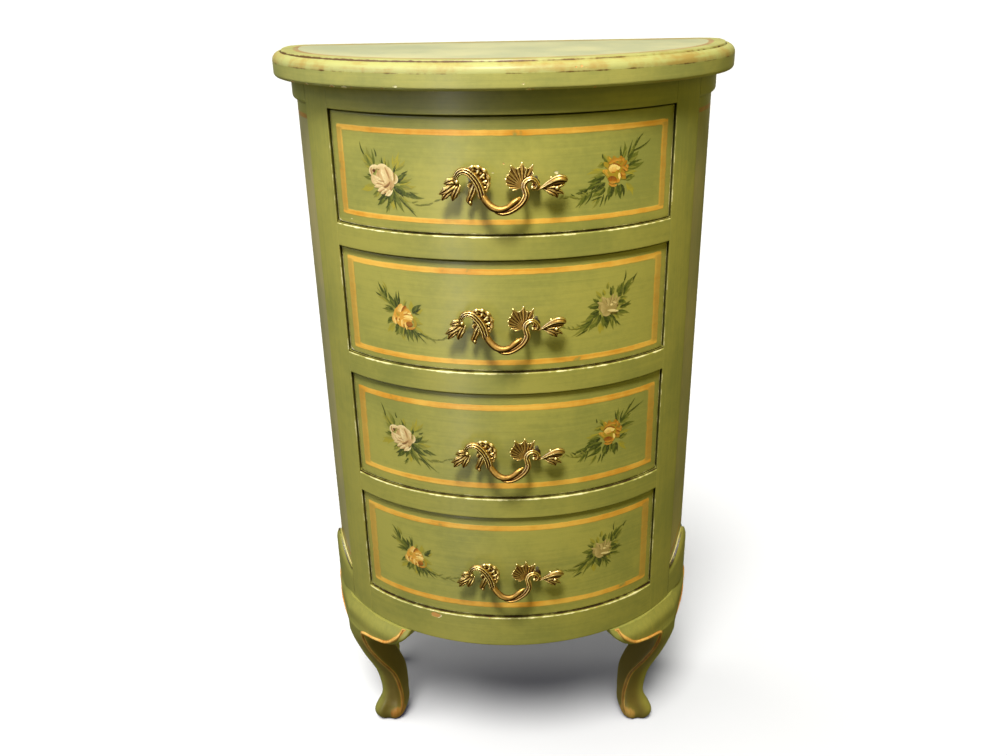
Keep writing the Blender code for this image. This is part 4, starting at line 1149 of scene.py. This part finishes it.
def stroke_skin(places, width, tones, lift, shape, run, hand):
    """Curve (1-t)^2 A + 2t(1-t) B + t^2 C on the drawer's face, in metres, with a lens section
    and half width w sin(pi t^blunt)^power; the colour runs from one tone to the other, across
    the stroke and, by the share given as run, along it."""
    start, bend, end = places
    t = np.linspace(0.004, 0.996, STROKE_ROWS)[:, None]
    path = (1 - t) ** 2 * start + 2 * t * (1 - t) * bend + t**2 * end
    along = unit(np.gradient(path, axis=0))
    half = width / 2 * np.maximum(np.sin(math.pi * t ** shape[0]) ** shape[1], 0.06)
    turn = np.linspace(0, math.tau, STROKE_COLS, endpoint=False)[None]
    side = half * np.cos(turn)
    x, z = path[:, :1] - side * along[:, 1:], path[:, 1:] + side * along[:, :1]
    height = lift + STROKE_RISE * np.sin(turn) * (half / (width / 2))
    grid = grid_of(x, bow_y(x, FRONT_RECESS - height), z)
    dark, light = (np.array(colour(*tone)) for tone in tones)
    blend = 0.5 + 0.6 * hand * (1 - run) * np.cos(turn) + 1.2 * run * (t - 0.5)
    shade = dark + (light - dark) * np.clip(blend, 0, 1)[..., None]
    return grid, {"pigment": np.concatenate([shade, np.ones((*shade.shape[:2], 1))], -1)}


# %% One spray
# Bluntness and power of a stroke's outline
LEAF_SHAPE, LINE_SHAPE, PETAL_SHAPE = (0.62, 1.05), (0.6, 1.0), (1.0, 0.55)


class Spray:
    """Strokes of one spray, in millimetres from its rose, each laid over the ones before it; x
    runs towards the pull."""

    def __init__(self, x, z, hand, seed):
        self.rng = np.random.default_rng(seed)
        self.middle, self.mirror = np.array([x, z]), np.array([hand, 1.0])
        self.skins = []

    def some(self, low, high):
        """A random number from this spray's own draws."""
        return self.rng.uniform(low, high)

    def stroke(self, start, bend, end, width, tones, shape=PETAL_SHAPE, run=0.3):
        """Lays one stroke, a little higher than the one before it."""
        places = [self.middle + self.mirror * np.array(p) / 1000 for p in (start, bend, end)]
        lift = FIRST_LIFT + NEXT_LIFT * len(self.skins)
        self.skins.append(stroke_skin(places, width / 1000, tones, lift, shape, run, self.mirror[0]))

    def leaf(self, root, along, width, tone, shape=LEAF_SHAPE):
        """A leaf, dark at its root and thin at its tip, bent a little to one side."""
        bend = root + along * 0.55 + np.array([-along[1], along[0]]) * self.some(-0.2, 0.2)
        tones = [LEAF_TONES[min(max(tone + step, 0), 4)] for step in (0, 1)]
        self.stroke(root, bend, root + along, width, tones, shape, 0.75)


def turned(along, turn):
    """A direction on the face, turned to the left by an angle."""
    return np.array([[math.cos(turn), -math.sin(turn)], [math.sin(turn), math.cos(turn)]]) @ along


def paint_leaves(spray, kind):
    """The palest leaves first, each with a lighter and a darker stroke beside it, then thin lines."""
    for x, z, tip_x, tip_z, width, tone in sorted(SPRAY_LEAVES[kind], key=lambda leaf: -leaf[-1]):
        root = np.array([x, z]) * 0.85 + spray.rng.uniform(-1, 1, 2)
        along = (np.array([tip_x, tip_z]) - root) * spray.some(0.9, 1.12)
        spray.leaf(root, along, width * spray.some(0.7, 0.9), tone)
        for step in (1, -1):
            beside = turned(along, step * spray.some(0.15, 0.32)) * spray.some(0.6, 0.9)
            spray.leaf(root, beside, width * 0.45, tone + step)
    for x, z, tip_x, tip_z in SPRAY_LINES[kind]:
        root = np.array([x, z]) + spray.rng.uniform(-1.5, 1.5, 2)
        along = np.array([tip_x - x, tip_z - z]) * spray.some(0.8, 1.1)
        spray.leaf(root, along, 1.5, 0, LINE_SHAPE)


def paint_sprig(spray):
    """A thin stem towards the pull with a few leaflets."""
    spray.stroke((30, -22), (40, -25), (52, -18), 0.7, LEAF_TONES[2:4], LINE_SHAPE)
    for share in np.linspace(0.0, 1.0, 6):
        root = np.array([28 + 22 * share + 2 * share**2, -21 - 8 * share + 11 * share**2])
        along = turned(np.array([spray.some(4, 9), 0]), spray.some(-1.1, 1.1))
        spray.leaf(root, along, spray.some(1.0, 2.0), 2)


def paint_rose(spray, kind):
    """Broad petals first and the bright and dark touches last, none placed quite the same twice."""
    for *places, width, edges in ROSE_STROKES[kind]:
        places = np.reshape(places, (3, 2)) + spray.rng.uniform(-0.5, 0.5, (3, 2))
        spray.stroke(*places, width, [ROSE_TONES[kind][edge] for edge in edges])


def pigment_paint():
    """Brush colour from the mesh, thinned a little by bristle marks."""
    f = Finish("spray_pigment", Coat_Weight=0.1, Coat_Roughness=0.25)
    pigment = f.node("Attribute", {"attribute_name": "pigment"}, output=0)
    bristle = f.noise(420.0, 3.0)
    shade = f.mix(bristle.ramp(0.4, 0.75) * 0.3, pigment, colour(146, 142, 66))
    return f.paint(shade, 0.36 + 0.2 * bristle, bristle, 0.0002)


spray_finish = pigment_paint()
for number, pair in SPRAYS.items():
    for (x, z, kind), (side, hand) in zip(pair, SIDES):
        spray = Spray(x, z, -hand, 10 * number + hand)
        paint_leaves(spray, kind)
        paint_sprig(spray)
        paint_rose(spray, kind)
        mesh = make_mesh(f"spray_{number}_{side}", spray.skins)
        mesh.shade_flat()
        add_piece(f"rose_spray_{number}_{side}", mesh, spray_finish, f"drawer_{number}")
print("strokes in a spray", len(spray.skins))

# %% [markdown]
# ## The cast pulls
# Each pull is one brass casting: a reeded scroll on the left with leaves and rocaille, a twisted
# bail, and a shell fan with a leaf on the right. A founder carves the model once and casts it
# four times, so it is made once here too. The parts are swept along smooth paths, with a
# section of ribs, a vein or a plain round. Then a voxel remesh melts them together, which
# leaves the soft inner corners that a casting has.

# %% Pull parts
# Millimetres: u to the right, w up and p out from the drawer, then half width and half depth
SCROLL = [
    (-42.6, 8.6, 9.5, 0.6, 0.6), (-44.6, 7.6, 9.8, 1.9, 1.8), (-46.6, 9.8, 10.0, 2.3, 2.2),
    (-46.3, 13.7, 10.2, 2.7, 2.6), (-43.6, 18.2, 10.6, 3.2, 3.0), (-38.8, 20.4, 11.2, 3.6, 3.2),
    (-33.0, 18.6, 12.0, 4.0, 3.4), (-27.7, 13.4, 13.0, 4.3, 3.5), (-23.7, 7.0, 14.2, 4.4, 3.5),
    (-21.4, 0.5, 15.4, 4.4, 3.5), (-20.4, -4.4, 16.4, 4.1, 3.3), (-20.0, -5.6, 16.6, 0.8, 0.8),
]
BAIL_UPPER = [
    (-21.2, 0.0, 15.0, 1.2, 1.2), (-19.4, -3.6, 15.8, 3.4, 3.2), (-15.9, -9.0, 17.6, 3.7, 3.5),
    (-9.8, -14.1, 19.8, 3.8, 3.6), (-2.7, -15.7, 20.8, 3.3, 3.4), (4.5, -13.6, 20.4, 2.6, 2.8),
    (10.2, -9.6, 19.4, 2.9, 2.8), (14.0, -6.8, 18.4, 2.2, 2.0), (17.2, -4.6, 17.4, 0.4, 0.4),
]
BAIL_LOWER = [
    (-10.5, -16.2, 19.0, 0.6, 0.6), (-6.0, -18.6, 20.0, 2.0, 2.2), (-0.5, -19.6, 20.8, 2.5, 3.0),
    (6.2, -18.4, 20.6, 2.7, 3.2), (13.4, -14.6, 19.6, 2.9, 3.3), (19.4, -9.6, 18.0, 3.2, 3.3),
    (22.6, -3.8, 16.0, 3.4, 3.2), (22.0, 0.6, 14.4, 3.4, 3.1), (20.8, 4.8, 13.0, 3.2, 3.0),
    (22.4, 9.0, 12.0, 3.0, 2.9), (26.8, 11.4, 11.2, 2.8, 2.7), (31.2, 10.2, 10.6, 2.4, 2.5),
    (33.4, 6.4, 10.4, 2.1, 2.3), (32.0, 3.0, 10.6, 1.9, 2.2), (28.9, 2.9, 11.0, 2.1, 2.4),
    (27.6, 4.8, 11.2, 0.6, 0.8),
]
LEAVES = [
    [
        (-43.0, 8.8, 8.6, 1.4, 1.6), (-48.5, 10.4, 9.8, 3.8, 2.4), (-53.6, 9.6, 9.6, 3.4, 2.0),
        (-58.0, 7.2, 8.4, 0.6, 0.8),
    ],
    [
        (-44.0, 7.6, 8.0, 1.8, 1.8), (-50.4, 4.6, 9.4, 4.0, 2.6), (-57.2, 0.4, 9.2, 3.6, 2.3),
        (-63.2, -3.0, 7.6, 0.6, 0.8),
    ],
    [
        (-46.4, 4.8, 8.0, 1.6, 1.8), (-52.6, -0.2, 9.0, 3.4, 2.4), (-57.8, -5.2, 8.6, 2.8, 2.0),
        (-60.6, -9.2, 7.2, 0.5, 0.7),
    ],
    [
        (-42.4, 6.4, 8.0, 1.6, 1.8), (-45.6, 1.0, 9.4, 3.7, 2.6), (-48.6, -5.0, 9.0, 3.2, 2.2),
        (-50.0, -9.8, 7.4, 0.5, 0.7),
    ],
    [
        (-26.4, 9.6, 9.0, 1.6, 1.8), (-28.6, 3.0, 9.4, 3.4, 2.6), (-31.2, -3.6, 9.0, 3.6, 2.4),
        (-33.2, -8.6, 8.4, 3.2, 2.0), (-32.0, -13.0, 7.6, 2.0, 1.6), (-31.0, -14.4, 7.2, 0.5, 0.6),
    ],
    [
        (37.0, 1.6, 9.0, 0.8, 0.9), (44.0, 3.8, 8.6, 2.6, 2.0), (50.0, 4.6, 9.0, 3.4, 2.4),
        (56.4, 5.4, 9.0, 3.2, 2.2), (60.8, 6.6, 8.2, 0.8, 0.8),
    ],
    [
        (40.0, 1.2, 7.8, 1.0, 1.2), (46.4, -0.8, 8.6, 3.2, 2.2), (51.6, -3.8, 8.4, 3.2, 2.0),
        (53.4, -7.8, 7.0, 0.5, 0.7),
    ],
    [
        (48.0, 1.0, 7.8, 1.2, 1.4), (53.6, -0.6, 8.6, 2.8, 2.0), (57.6, -2.4, 8.0, 1.8, 1.5),
        (59.6, -4.6, 7.2, 0.5, 0.6),
    ],
]
ROLLED = [
    (33.4, 0.4, 9.6, 0.5, 0.7), (38.4, 3.0, 9.6, 1.5, 1.6), (44.6, 6.8, 10.0, 2.8, 2.5),
    (50.4, 9.8, 10.4, 4.0, 3.2), (55.6, 11.0, 10.2, 4.7, 3.6), (60.0, 10.4, 9.4, 4.2, 3.2),
    (62.8, 8.8, 8.4, 1.4, 1.4),
]
CREST = [
    (-35.0, 21.6, 9.6, 0.8, 1.0), (-30.0, 21.4, 9.4, 3.0, 1.7), (-24.8, 20.0, 9.2, 4.2, 1.8),
    (-20.2, 16.6, 9.2, 4.8, 1.8), (-17.8, 11.6, 9.4, 4.6, 1.8), (-17.0, 6.4, 9.8, 3.8, 1.8),
    (-18.0, 1.2, 10.6, 1.6, 1.4),
]
# The crest's raised rim, and the ridges that join it to the scroll
RIM = [
    (-36.0, 21.4, 10.8, 1.0, 1.0), (-31.0, 23.6, 11.2, 1.7, 1.6), (-26.0, 24.2, 11.2, 1.9, 1.7),
    (-20.6, 22.6, 11.2, 2.0, 1.8), (-16.2, 18.8, 11.4, 2.0, 1.8), (-13.7, 13.2, 11.6, 2.0, 1.8),
    (-13.8, 7.2, 12.0, 1.9, 1.7), (-15.8, 1.8, 12.6, 1.5, 1.4), (-18.4, -1.2, 13.2, 0.6, 0.7),
]
LOBES = [
    (-30.0, 18.4, -28.6, 23.4), (-25.8, 16.4, -22.4, 22.6), (-23.0, 12.6, -16.6, 17.8),
    (-21.4, 8.2, -14.4, 10.8), (-20.0, 3.6, -15.0, 4.4),
]
ROCAILLE = [
    (-24.2, 20.0, 11.6, 1.5), (-18.6, 14.0, 11.8, 1.5), (-17.2, 8.2, 12.2, 1.3), (47.4, 12.2, 9.0, 1.7),
    (53.0, 2.4, 10.4, 2.2), (28.6, 3.4, 11.4, 2.0), (-44.9, 9.6, 10.6, 2.4), (-32.4, -11.2, 9.2, 1.8),
]
SHELL_BASE = (19.4, 3.4)
# Reach of the fan by angle, and the angle and reach of its longest fingers
SHELL_EDGE = [
    (42, 15.0), (64, 18.0), (89, 18.6), (115, 19.4), (135, 19.8), (154, 19.0), (170, 16.0), (186, 11.5),
    (206, 6.5),
]
SHELL_FINGERS = [(118, 24.0), (91, 23.8), (65, 23.6)]
SHELL_FOLD, SHELL_THICK = 13, 1.1  # degrees from fold to fold, and thickness


def sweep(rows, ribs=0, depth=0.0, vein=0.0, steps=6, turns=28):
    """Section (half width cos, half depth sin) laid square to a smooth path. On the front the
    depth is scaled by 1 + depth cos(pi ribs cos) for ribs and less a narrow vein in the middle."""
    rows = smooth_rows(rows, steps)
    path, half, deep = rows[:, :3], np.maximum(rows[:, 3:4], 0.3), np.maximum(rows[:, 4:5], 0.3)
    along = unit(np.gradient(path, axis=0))
    face = unit(np.array([0.0, 0.0, 1.0]) - along * along[:, 2:])
    side = np.cross(along, face)
    turn = np.linspace(0, math.tau, turns, endpoint=False)
    u, v = np.cos(turn), np.sin(turn)
    front = np.clip(v * 3, 0, 1)
    ribbed = v * (1 + front * (depth * np.cos(math.pi * ribs * u) - depth))
    v = ribbed - front * vein * np.exp(-((u / 0.22) ** 2))
    return path[:, None] + side[:, None] * (half * u)[..., None] + face[:, None] * (deep * v)[..., None]


def leaf(rows):
    """Leaf: a sweep with a vein whose half width swells in lobes, 1 + 0.1 cos(2 pi lobes t)."""
    rows = smooth_rows(rows, 5)
    t = np.linspace(0, 1, len(rows))
    rows[:, 3] *= 1 + 0.1 * np.cos(math.tau * 3.2 * t)
    return sweep(rows, vein=0.5, steps=2)


def lobe(u, w, end_u, end_w):
    """Round-ended ridge of the crest."""
    share = np.array([0.0, 0.35, 0.7, 1.0])
    size = np.array([0.9, 1.3, 1.5, 0.9])
    rise = np.array([11.6, 11.8, 11.6, 11.2])
    rows = [u + (end_u - u) * share, w + (end_w - w) * share, rise, size, size]
    return sweep(np.stack(rows, 1))


def beaded(rows):
    """The crest's rim, its half width and depth swelling by 1 + 0.22 cos along the way."""
    rows = smooth_rows(rows, 8)
    rows[:, 3:] *= (1 + 0.22 * np.cos(np.linspace(0, math.tau * 6.5, len(rows))))[:, None]
    return sweep(rows, steps=1)


def knob(u, w, p, radius):
    """Small rounded lump, a sphere cut into rings."""
    turn = np.linspace(0.12, math.pi - 0.12, 12)
    size = radius * np.sin(turn)
    rows = np.stack([u + 0 * turn, w - radius * np.cos(turn), p + 0 * turn, size, size], 1)
    return sweep(rows, steps=1, turns=18)


def shell():
    """Fan: for each angle a strip from the foot out to R(angle), which rises in a round bump at
    each finger; folds cos(2 pi angle / fold) run along the strip and the rim leans forward."""
    angle = np.linspace(204, 44, 200)
    edge = np.array(SHELL_EDGE)
    fold = np.cos(math.tau * (angle - 91) / SHELL_FOLD)
    reach = np.interp(angle, *edge.T) + 0.5 * fold
    for middle, tip in SHELL_FINGERS:
        reach += (tip - np.interp(middle, *edge.T)) * np.exp(-(((angle - middle) / 7.5) ** 2))
    crest = 0.4 * fold + 0.1 * np.cos(np.radians(angle) * 64)
    share = np.linspace(0.06, 1.0, 16)
    share = np.concatenate([share, share[::-1]])[None]
    front = np.concatenate([np.ones(16), np.zeros(16)])[None]
    turn = np.radians(angle)[:, None]
    u = SHELL_BASE[0] + reach[:, None] * share * np.cos(turn)
    w = SHELL_BASE[1] + reach[:, None] * share * np.sin(turn)
    p = 9.2 + 1.6 * share**2 + SHELL_THICK * front + crest[:, None] * share * front
    return grid_of(u, w, p - SHELL_THICK * (1 - front))


# %% One casting
PULL_X = (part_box("pull_1")[0].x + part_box("pull_1")[1].x) / 2
FACE_Y = PLAN_Y - BOW_DEPTH + FRONT_RECESS
VOXEL = 0.00036
PULL_DROP = 0.0118  # the casting hangs below the middle of the opening
FRONT_BOTTOM_GAP, FRONT_TOP_GAP = 0.0012, 0.0018
POST_PLACE = (32.2, 5.2)  # millimetres from the casting's middle to a post


def post(hand):
    """Round post from the casting back to the drawer's face."""
    out, up = POST_PLACE
    reach, radius = (10.5, 4.3) if hand > 0 else (8.0, 2.8)
    seat = (bow_y(PULL_X + out / 1000, FRONT_RECESS) - FACE_Y) * 1000
    p = np.linspace(reach, -seat + 0.3, 8)[:, None]
    turn = np.linspace(0, math.tau, 24, endpoint=False)[None]
    return grid_of(radius * np.cos(turn) + out * hand, radius * np.sin(turn) + up, p)


def casting():
    """All parts of a pull melted into one mesh by a voxel remesh."""
    parts = [sweep(SCROLL, 3, 0.22), sweep(BAIL_UPPER, 1, 0.06), sweep(BAIL_LOWER, 2, 0.2), shell()]
    parts += [sweep(ROLLED, 2, 0.12), sweep(CREST, 2, 0.2), beaded(RIM)]
    parts += [leaf(rows) for rows in LEAVES]
    parts += [knob(*spot) for spot in ROCAILLE]
    parts += [lobe(*ends) for ends in LOBES]
    for angle, reach in SHELL_FINGERS:
        turn = math.radians(angle)
        tip = SHELL_BASE[0] + reach * math.cos(turn), SHELL_BASE[1] + reach * math.sin(turn)
        parts.append(knob(*tip, 11.0, 1.25))
    parts += [post(-1), post(1)]
    model = bpy.data.objects.new("casting", make_mesh("casting", [(part / 1000, {}) for part in parts]))
    bpy.context.scene.collection.objects.link(model)
    melt = model.modifiers.new("melt", "REMESH")
    melt.mode, melt.voxel_size = "VOXEL", VOXEL
    bpy.context.view_layer.update()
    result = model.evaluated_get(bpy.context.evaluated_depsgraph_get())
    mesh = bpy.data.meshes.new_from_object(result)
    bpy.data.objects.remove(model)
    return mesh


def relaxed(points, edges, rounds):
    """Each point moved to the mean of its neighbours, again and again."""
    ends = np.concatenate([edges, edges[:, ::-1]])
    count = np.bincount(ends[:, 0], minlength=len(points))[:, None]
    for _ in range(rounds):
        total = [np.bincount(ends[:, 0], points[ends[:, 1], k], len(points)) for k in range(3)]
        points = np.stack(total, 1) / count
    return points


def read(collection, field, shape, kind=np.float32):
    """One field of a mesh's points or edges as an array with so many numbers in a row."""
    values = np.empty(len(collection) * shape, kind)
    collection.foreach_get(field, values)
    return values.reshape(-1, shape)


def patina_and_painted_shade(skin, edges, normals):
    """Millimetres by which a point lies below its smoothed neighbours, with more added: far back, where
    the brown patina stays; as painted shade on what faces down, most of all at the outer leaves; and
    towards the bottom of the casting, over the bail."""
    patina_shade = ((relaxed(skin, edges, 7) - skin) * normals).sum(1) * 1000
    across, up, out = skin.T
    patina_shade += np.clip((0.0086 - out) / 0.002, 0, 1) * 0.12
    outer = np.clip((np.abs(across) - 0.036) / 0.01, 0, 1)
    # Painted shade: what faces down is darkened, most at the outer leaves
    patina_shade += np.clip(-normals[:, 1], 0, 1) * (0.11 + 0.1 * outer)
    return patina_shade + np.clip((0.003 - up) / 0.012, 0, 1) * 0.07


melted = casting()
skin = read(melted.vertices, "co", 3).astype(float)
edges = read(melted.edges, "vertices", 2, np.int32)
faces = [list(face.vertices) for face in melted.polygons]
skin = relaxed(skin, edges, 1) * 0.5 + skin * 0.5
patina_shade = patina_and_painted_shade(skin, edges, read(melted.vertices, "normal", 3))
print("casting points", len(skin), "recess mm", patina_shade.min().round(2), patina_shade.max().round(2))

# %% [markdown]
# ## Antique brass
# Old cast brass stays bright where fingers rub it and goes brown in the hollows. One number says
# which is which: how far a point lies below its smoothed neighbourhood, with more added as painted
# shade where the casting faces down. The colour and the roughness both follow it, with a little
# noise so that the patina is uneven.

# %% Brass and the four pulls


def antique_brass():
    """Bright where the mark is below zero, brown where it is above, as patina in the hollows and painted
    shade where the casting faces down, and rougher as the mark grows.
    """
    f = Finish("antique_brass", Metallic=1.0)
    patina_shade, cloud, fine = f.mark("recess_mm"), f.noise(160.0), f.noise(900.0, 4.0)
    depth = patina_shade + (cloud - 0.5) * 0.08
    base = f.mix(depth.ramp(-0.15, -0.02), colour(252, 230, 150), colour(178, 138, 68))
    base = f.mix(depth.ramp(0.0, 0.1), base, colour(62, 36, 18))
    rough = depth.ramp(-0.2, 0.3) * 0.3 + 0.27 + fine * 0.08
    return f.paint(base, rough, fine + cloud, 0.00006)


brass = antique_brass()
for number in DRAWERS:
    low, high = heights(f"drawer_{number}_front")
    middle = (low - FRONT_BOTTOM_GAP + high + FRONT_TOP_GAP) / 2 - PULL_DROP
    placed = np.stack([PULL_X + skin[:, 0], FACE_Y - skin[:, 2], middle + skin[:, 1]], 1)
    mesh = bpy.data.meshes.new(f"pull_{number}")
    mesh.from_pydata(placed.tolist(), [], faces)
    mark = mesh.attributes.new("recess_mm", "FLOAT", "POINT")
    mark.data.foreach_set("value", patina_shade.astype(np.float32))
    mesh.shade_smooth()
    node = f"pull_{number}"
    add_piece(f"cast_{node}", mesh, brass, f"drawer_{number}", [node])
print("pulls", len(DRAWERS), "faces each", len(mesh.polygons))

# %% [markdown]
# ## The wood inside
# Drawer boxes, runners, back and bottom were never painted. Their CAD shapes are right as they
# are, so they stay and only get a finish: long clouds of grain along the board, with
# fine dark pores. Three versions follow the three ways a board can lie.

# %% Plain wood and steel


def plain_wood(name, grain):
    """Grain is the number of clouds a metre by axis, small along the board."""
    f = Finish(name)
    long, fine = f.noise(grain, 4.0, 0.6), f.noise(tuple(4 * g for g in grain), 3.0)
    stain = f.noise(6.0, 2.0)
    base = f.mix((long + stain * 0.6).ramp(0.55, 1.05), colour(112, 76, 44), colour(178, 136, 88))
    base = f.mix(fine.ramp(0.6, 0.75) * 0.5, base, colour(84, 54, 30))
    return f.paint(base, 0.62 + 0.2 * fine, fine + long, 0.0002)


def bolt_steel():
    """Steel between a dull and a bright tone, by fine noise."""
    f = Finish("bolt_steel", Metallic=1.0)
    worn = f.noise(700.0, 4.0)
    return f.paint(f.mix(worn, colour(120, 112, 100), colour(176, 172, 164)), 0.3 + 0.3 * worn)


ALONG = {
    "x": plain_wood("wood_across", (6.0, 90.0, 90.0)),
    "y": plain_wood("wood_deep", (90.0, 6.0, 90.0)),
    "z": plain_wood("wood_upright", (90.0, 90.0, 6.0)),
}
steel = bolt_steel()
kept = [o for o in frame["nodes"].values() if not o.hide_render]
for node in kept:
    if "bolt" in node.name:
        finish = steel
    elif "back_panel" in node.name:
        finish = ALONG["z"]
    else:
        finish = ALONG["y" if "side" in node.name or "runner" in node.name else "x"]
    node.data.materials.clear()
    node.data.materials.append(finish)
print("CAD nodes kept", len(kept))

# %% [markdown]
# ## Floor, light and camera
# The chest stands on a plain pale floor. Two lamps above the front, two at the left and a weak
# one at the right shade it as the room did, with warm light from all round. Light linking lets
# other lamps reach one thing only: the floor has its own soft suns, and the brass has a card
# to reflect. The camera stands where the photographer stood, a little above the top and close.

# %% Stage
FLOOR = 60.0
# Lamps that reach the chest alone: name, watts, place, aim, size and tint
CHEST_LAMPS = [
    ("near_key", 12.0, (-0.08, -0.85, 1.95), (0, -0.05, 0.6), 0.36, (0.84, 0.82, 0.9)),
    ("far_key", 75.0, (-0.10, -1.30, 2.90), (0, -0.05, 0.5), 0.55, (0.9, 0.88, 0.9)),
    ("left_fill", 28.0, (-2.2, -1.4, 1.9), (0, 0, 0.6), 1.6, (0.31, 0.38, 1.0)),
    ("right_fill", 6.0, (1.8, -1.4, 2.0), (0, 0, 0.6), 1.2, (1.0, 0.82, 0.1)),
    ("left_high", 39.0, (-2.0, -1.0, 3.2), (0, 0, 0.6), 1.6, (1.0, 1.0, 0.95)),
]
# Suns that reach the floor alone: name, strength, where they stand and how wide they are in degrees
FLOOR_SUNS = [("floor_sun", 9.2, (-0.10, -0.52, 1.0), 24), ("floor_glow", 2.9, (-0.6, -0.08, 1.0), 50)]
SUN_TINT = (1.0, 0.9, 0.6)
# Cards that only show in reflections: name, watts, place, aim, width and height
CARDS = [
    ("back_glow", 8.0, (0, 3.0, 1.3), (0, 0, 0.9), 4.0, 2.0),
    ("window", 22.0, (-1.3, -2.9, -0.2), (0, -0.1, -0.2), 0.5, 2.0),
]


def add_floor():
    """A square of floor that takes light and shadow but gives no light back to the chest; a faint
    blue glow of its own cools its shadows."""
    mesh = bpy.data.meshes.new("floor")
    corners = [(-FLOOR, -FLOOR, 0), (FLOOR, -FLOOR, 0), (FLOOR, FLOOR, 0), (-FLOOR, FLOOR, 0)]
    mesh.from_pydata(corners, [], [(0, 1, 2, 3)])
    floor = bpy.data.objects.new("floor", mesh)
    bpy.context.scene.collection.objects.link(floor)
    f = Finish("pale_floor")
    f.shader.inputs["Emission Color"].default_value = (0.0, 0.0, 1.0, 1.0)
    f.shader.inputs["Emission Strength"].default_value = 0.03
    mesh.materials.append(f.paint((0.31, 0.343, 0.51), 0.9))
    floor.visible_diffuse = False
    floor.visible_glossy = False
    floor.visible_shadow = False
    floor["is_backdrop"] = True
    return floor


def stand(thing, side, up, back, place):
    """Puts a lamp or the camera at a place, with its own three axes along the given ones."""
    turn = np.eye(4)
    turn[:3] = np.column_stack([side, up, back, place])
    thing.matrix_world = Matrix(turn.tolist())
    bpy.context.scene.collection.objects.link(thing)


def add_lamp(name, kind, energy, place, aim, **settings):
    """A lamp that looks from its place at its aim: its back axis points away from the aim, and its
    side axis is level."""
    data = bpy.data.lights.new(name, kind)
    data.energy = energy
    for key, value in settings.items():
        setattr(data, key, value)
    lamp = bpy.data.objects.new(name, data)
    back = unit(np.array(place, float) - np.array(aim, float))
    side = unit(np.cross((0, 0, 1), back))
    stand(lamp, side, np.cross(back, side), back, place)
    return lamp


def reach_only(lamp, state, things):
    """Light linking: the lamp reaches only these things, or everything but them."""
    group = bpy.data.collections.new(f"{lamp.name}_{state.lower()}")
    for thing in things:
        group.objects.link(thing)
    for link in group.collection_objects:
        link.light_linking.link_state = state
    lamp.light_linking.receiver_collection = group


def add_world():
    """Warm light from all round, and a plain pale backdrop where the camera looks past the floor."""
    world = bpy.data.worlds.new("studio")
    world.use_nodes = True
    nodes, links = world.node_tree.nodes, world.node_tree.links
    glow, backdrop = nodes["Background"], nodes.new("ShaderNodeBackground")
    glow.inputs["Color"].default_value = (1.0, 0.95, 0.32, 1.0)
    glow.inputs["Strength"].default_value = 0.20
    backdrop.inputs["Color"].default_value = (0.98, 0.98, 0.98, 1.0)
    choice = nodes.new("ShaderNodeMixShader")
    links.new(nodes.new("ShaderNodeLightPath").outputs["Is Camera Ray"], choice.inputs[0])
    links.new(glow.outputs[0], choice.inputs[1])
    links.new(backdrop.outputs[0], choice.inputs[2])
    links.new(choice.outputs[0], nodes["World Output"].inputs["Surface"])
    bpy.context.scene.world = world


floor = add_floor()
for name, watts, place, aim, size, tint in CHEST_LAMPS:
    lamp = add_lamp(name, "AREA", watts, place, aim, size=size, color=tint)
    reach_only(lamp, "EXCLUDE", [floor])
for name, strength, place, width in FLOOR_SUNS:
    lamp = add_lamp(name, "SUN", strength, place, (0, 0, 0), angle=math.radians(width), color=SUN_TINT)
    reach_only(lamp, "INCLUDE", [floor])
pulls = [o for o in bpy.context.scene.objects if o.name.startswith("cast_pull")]
brass_card = add_lamp("brass_card", "AREA", 2.2, (0.1, -2.2, 0.35), (0, 0, 0.5), size=1.2)
reach_only(brass_card, "INCLUDE", pulls)
for name, watts, place, aim, width, height in CARDS:
    card = add_lamp(name, "AREA", watts, place, aim, shape="RECTANGLE", size=width, size_y=height)
    card.visible_diffuse = card.visible_camera = False
add_world()
bpy.context.scene.view_settings.view_transform = "Standard"

# %% Camera
IMAGE_WIDTH, FOCAL_PIXELS = 1007, 926.8
CAMERA_PLACE = (0.0229, -1.0135, 0.9723)
YAW, PITCH, ROLL = (math.radians(v) for v in (-1.52, 23.86, -1.12))


def add_camera():
    """Camera that looks along +Y, turned by the yaw, tipped down by the pitch and tilted by the roll."""
    right = np.array([math.cos(YAW), -math.sin(YAW), 0.0])
    level = np.array([math.sin(YAW), math.cos(YAW), 0.0])
    ahead = level * math.cos(PITCH) - np.array([0.0, 0.0, math.sin(PITCH)])
    up = np.cross(right, ahead)
    tilted = math.cos(ROLL) * right + math.sin(ROLL) * up
    upward = -math.sin(ROLL) * right + math.cos(ROLL) * up
    data = bpy.data.cameras.new("camera")
    data.sensor_width = 36.0
    data.lens = FOCAL_PIXELS * data.sensor_width / IMAGE_WIDTH
    camera = bpy.data.objects.new("camera", data)
    stand(camera, tilted, upward, -ahead, CAMERA_PLACE)
    bpy.context.scene.camera = camera


add_camera()

# %% Sizes
low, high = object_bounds()
print("visual box", [round(v, 4) for v in (*low, *high)])
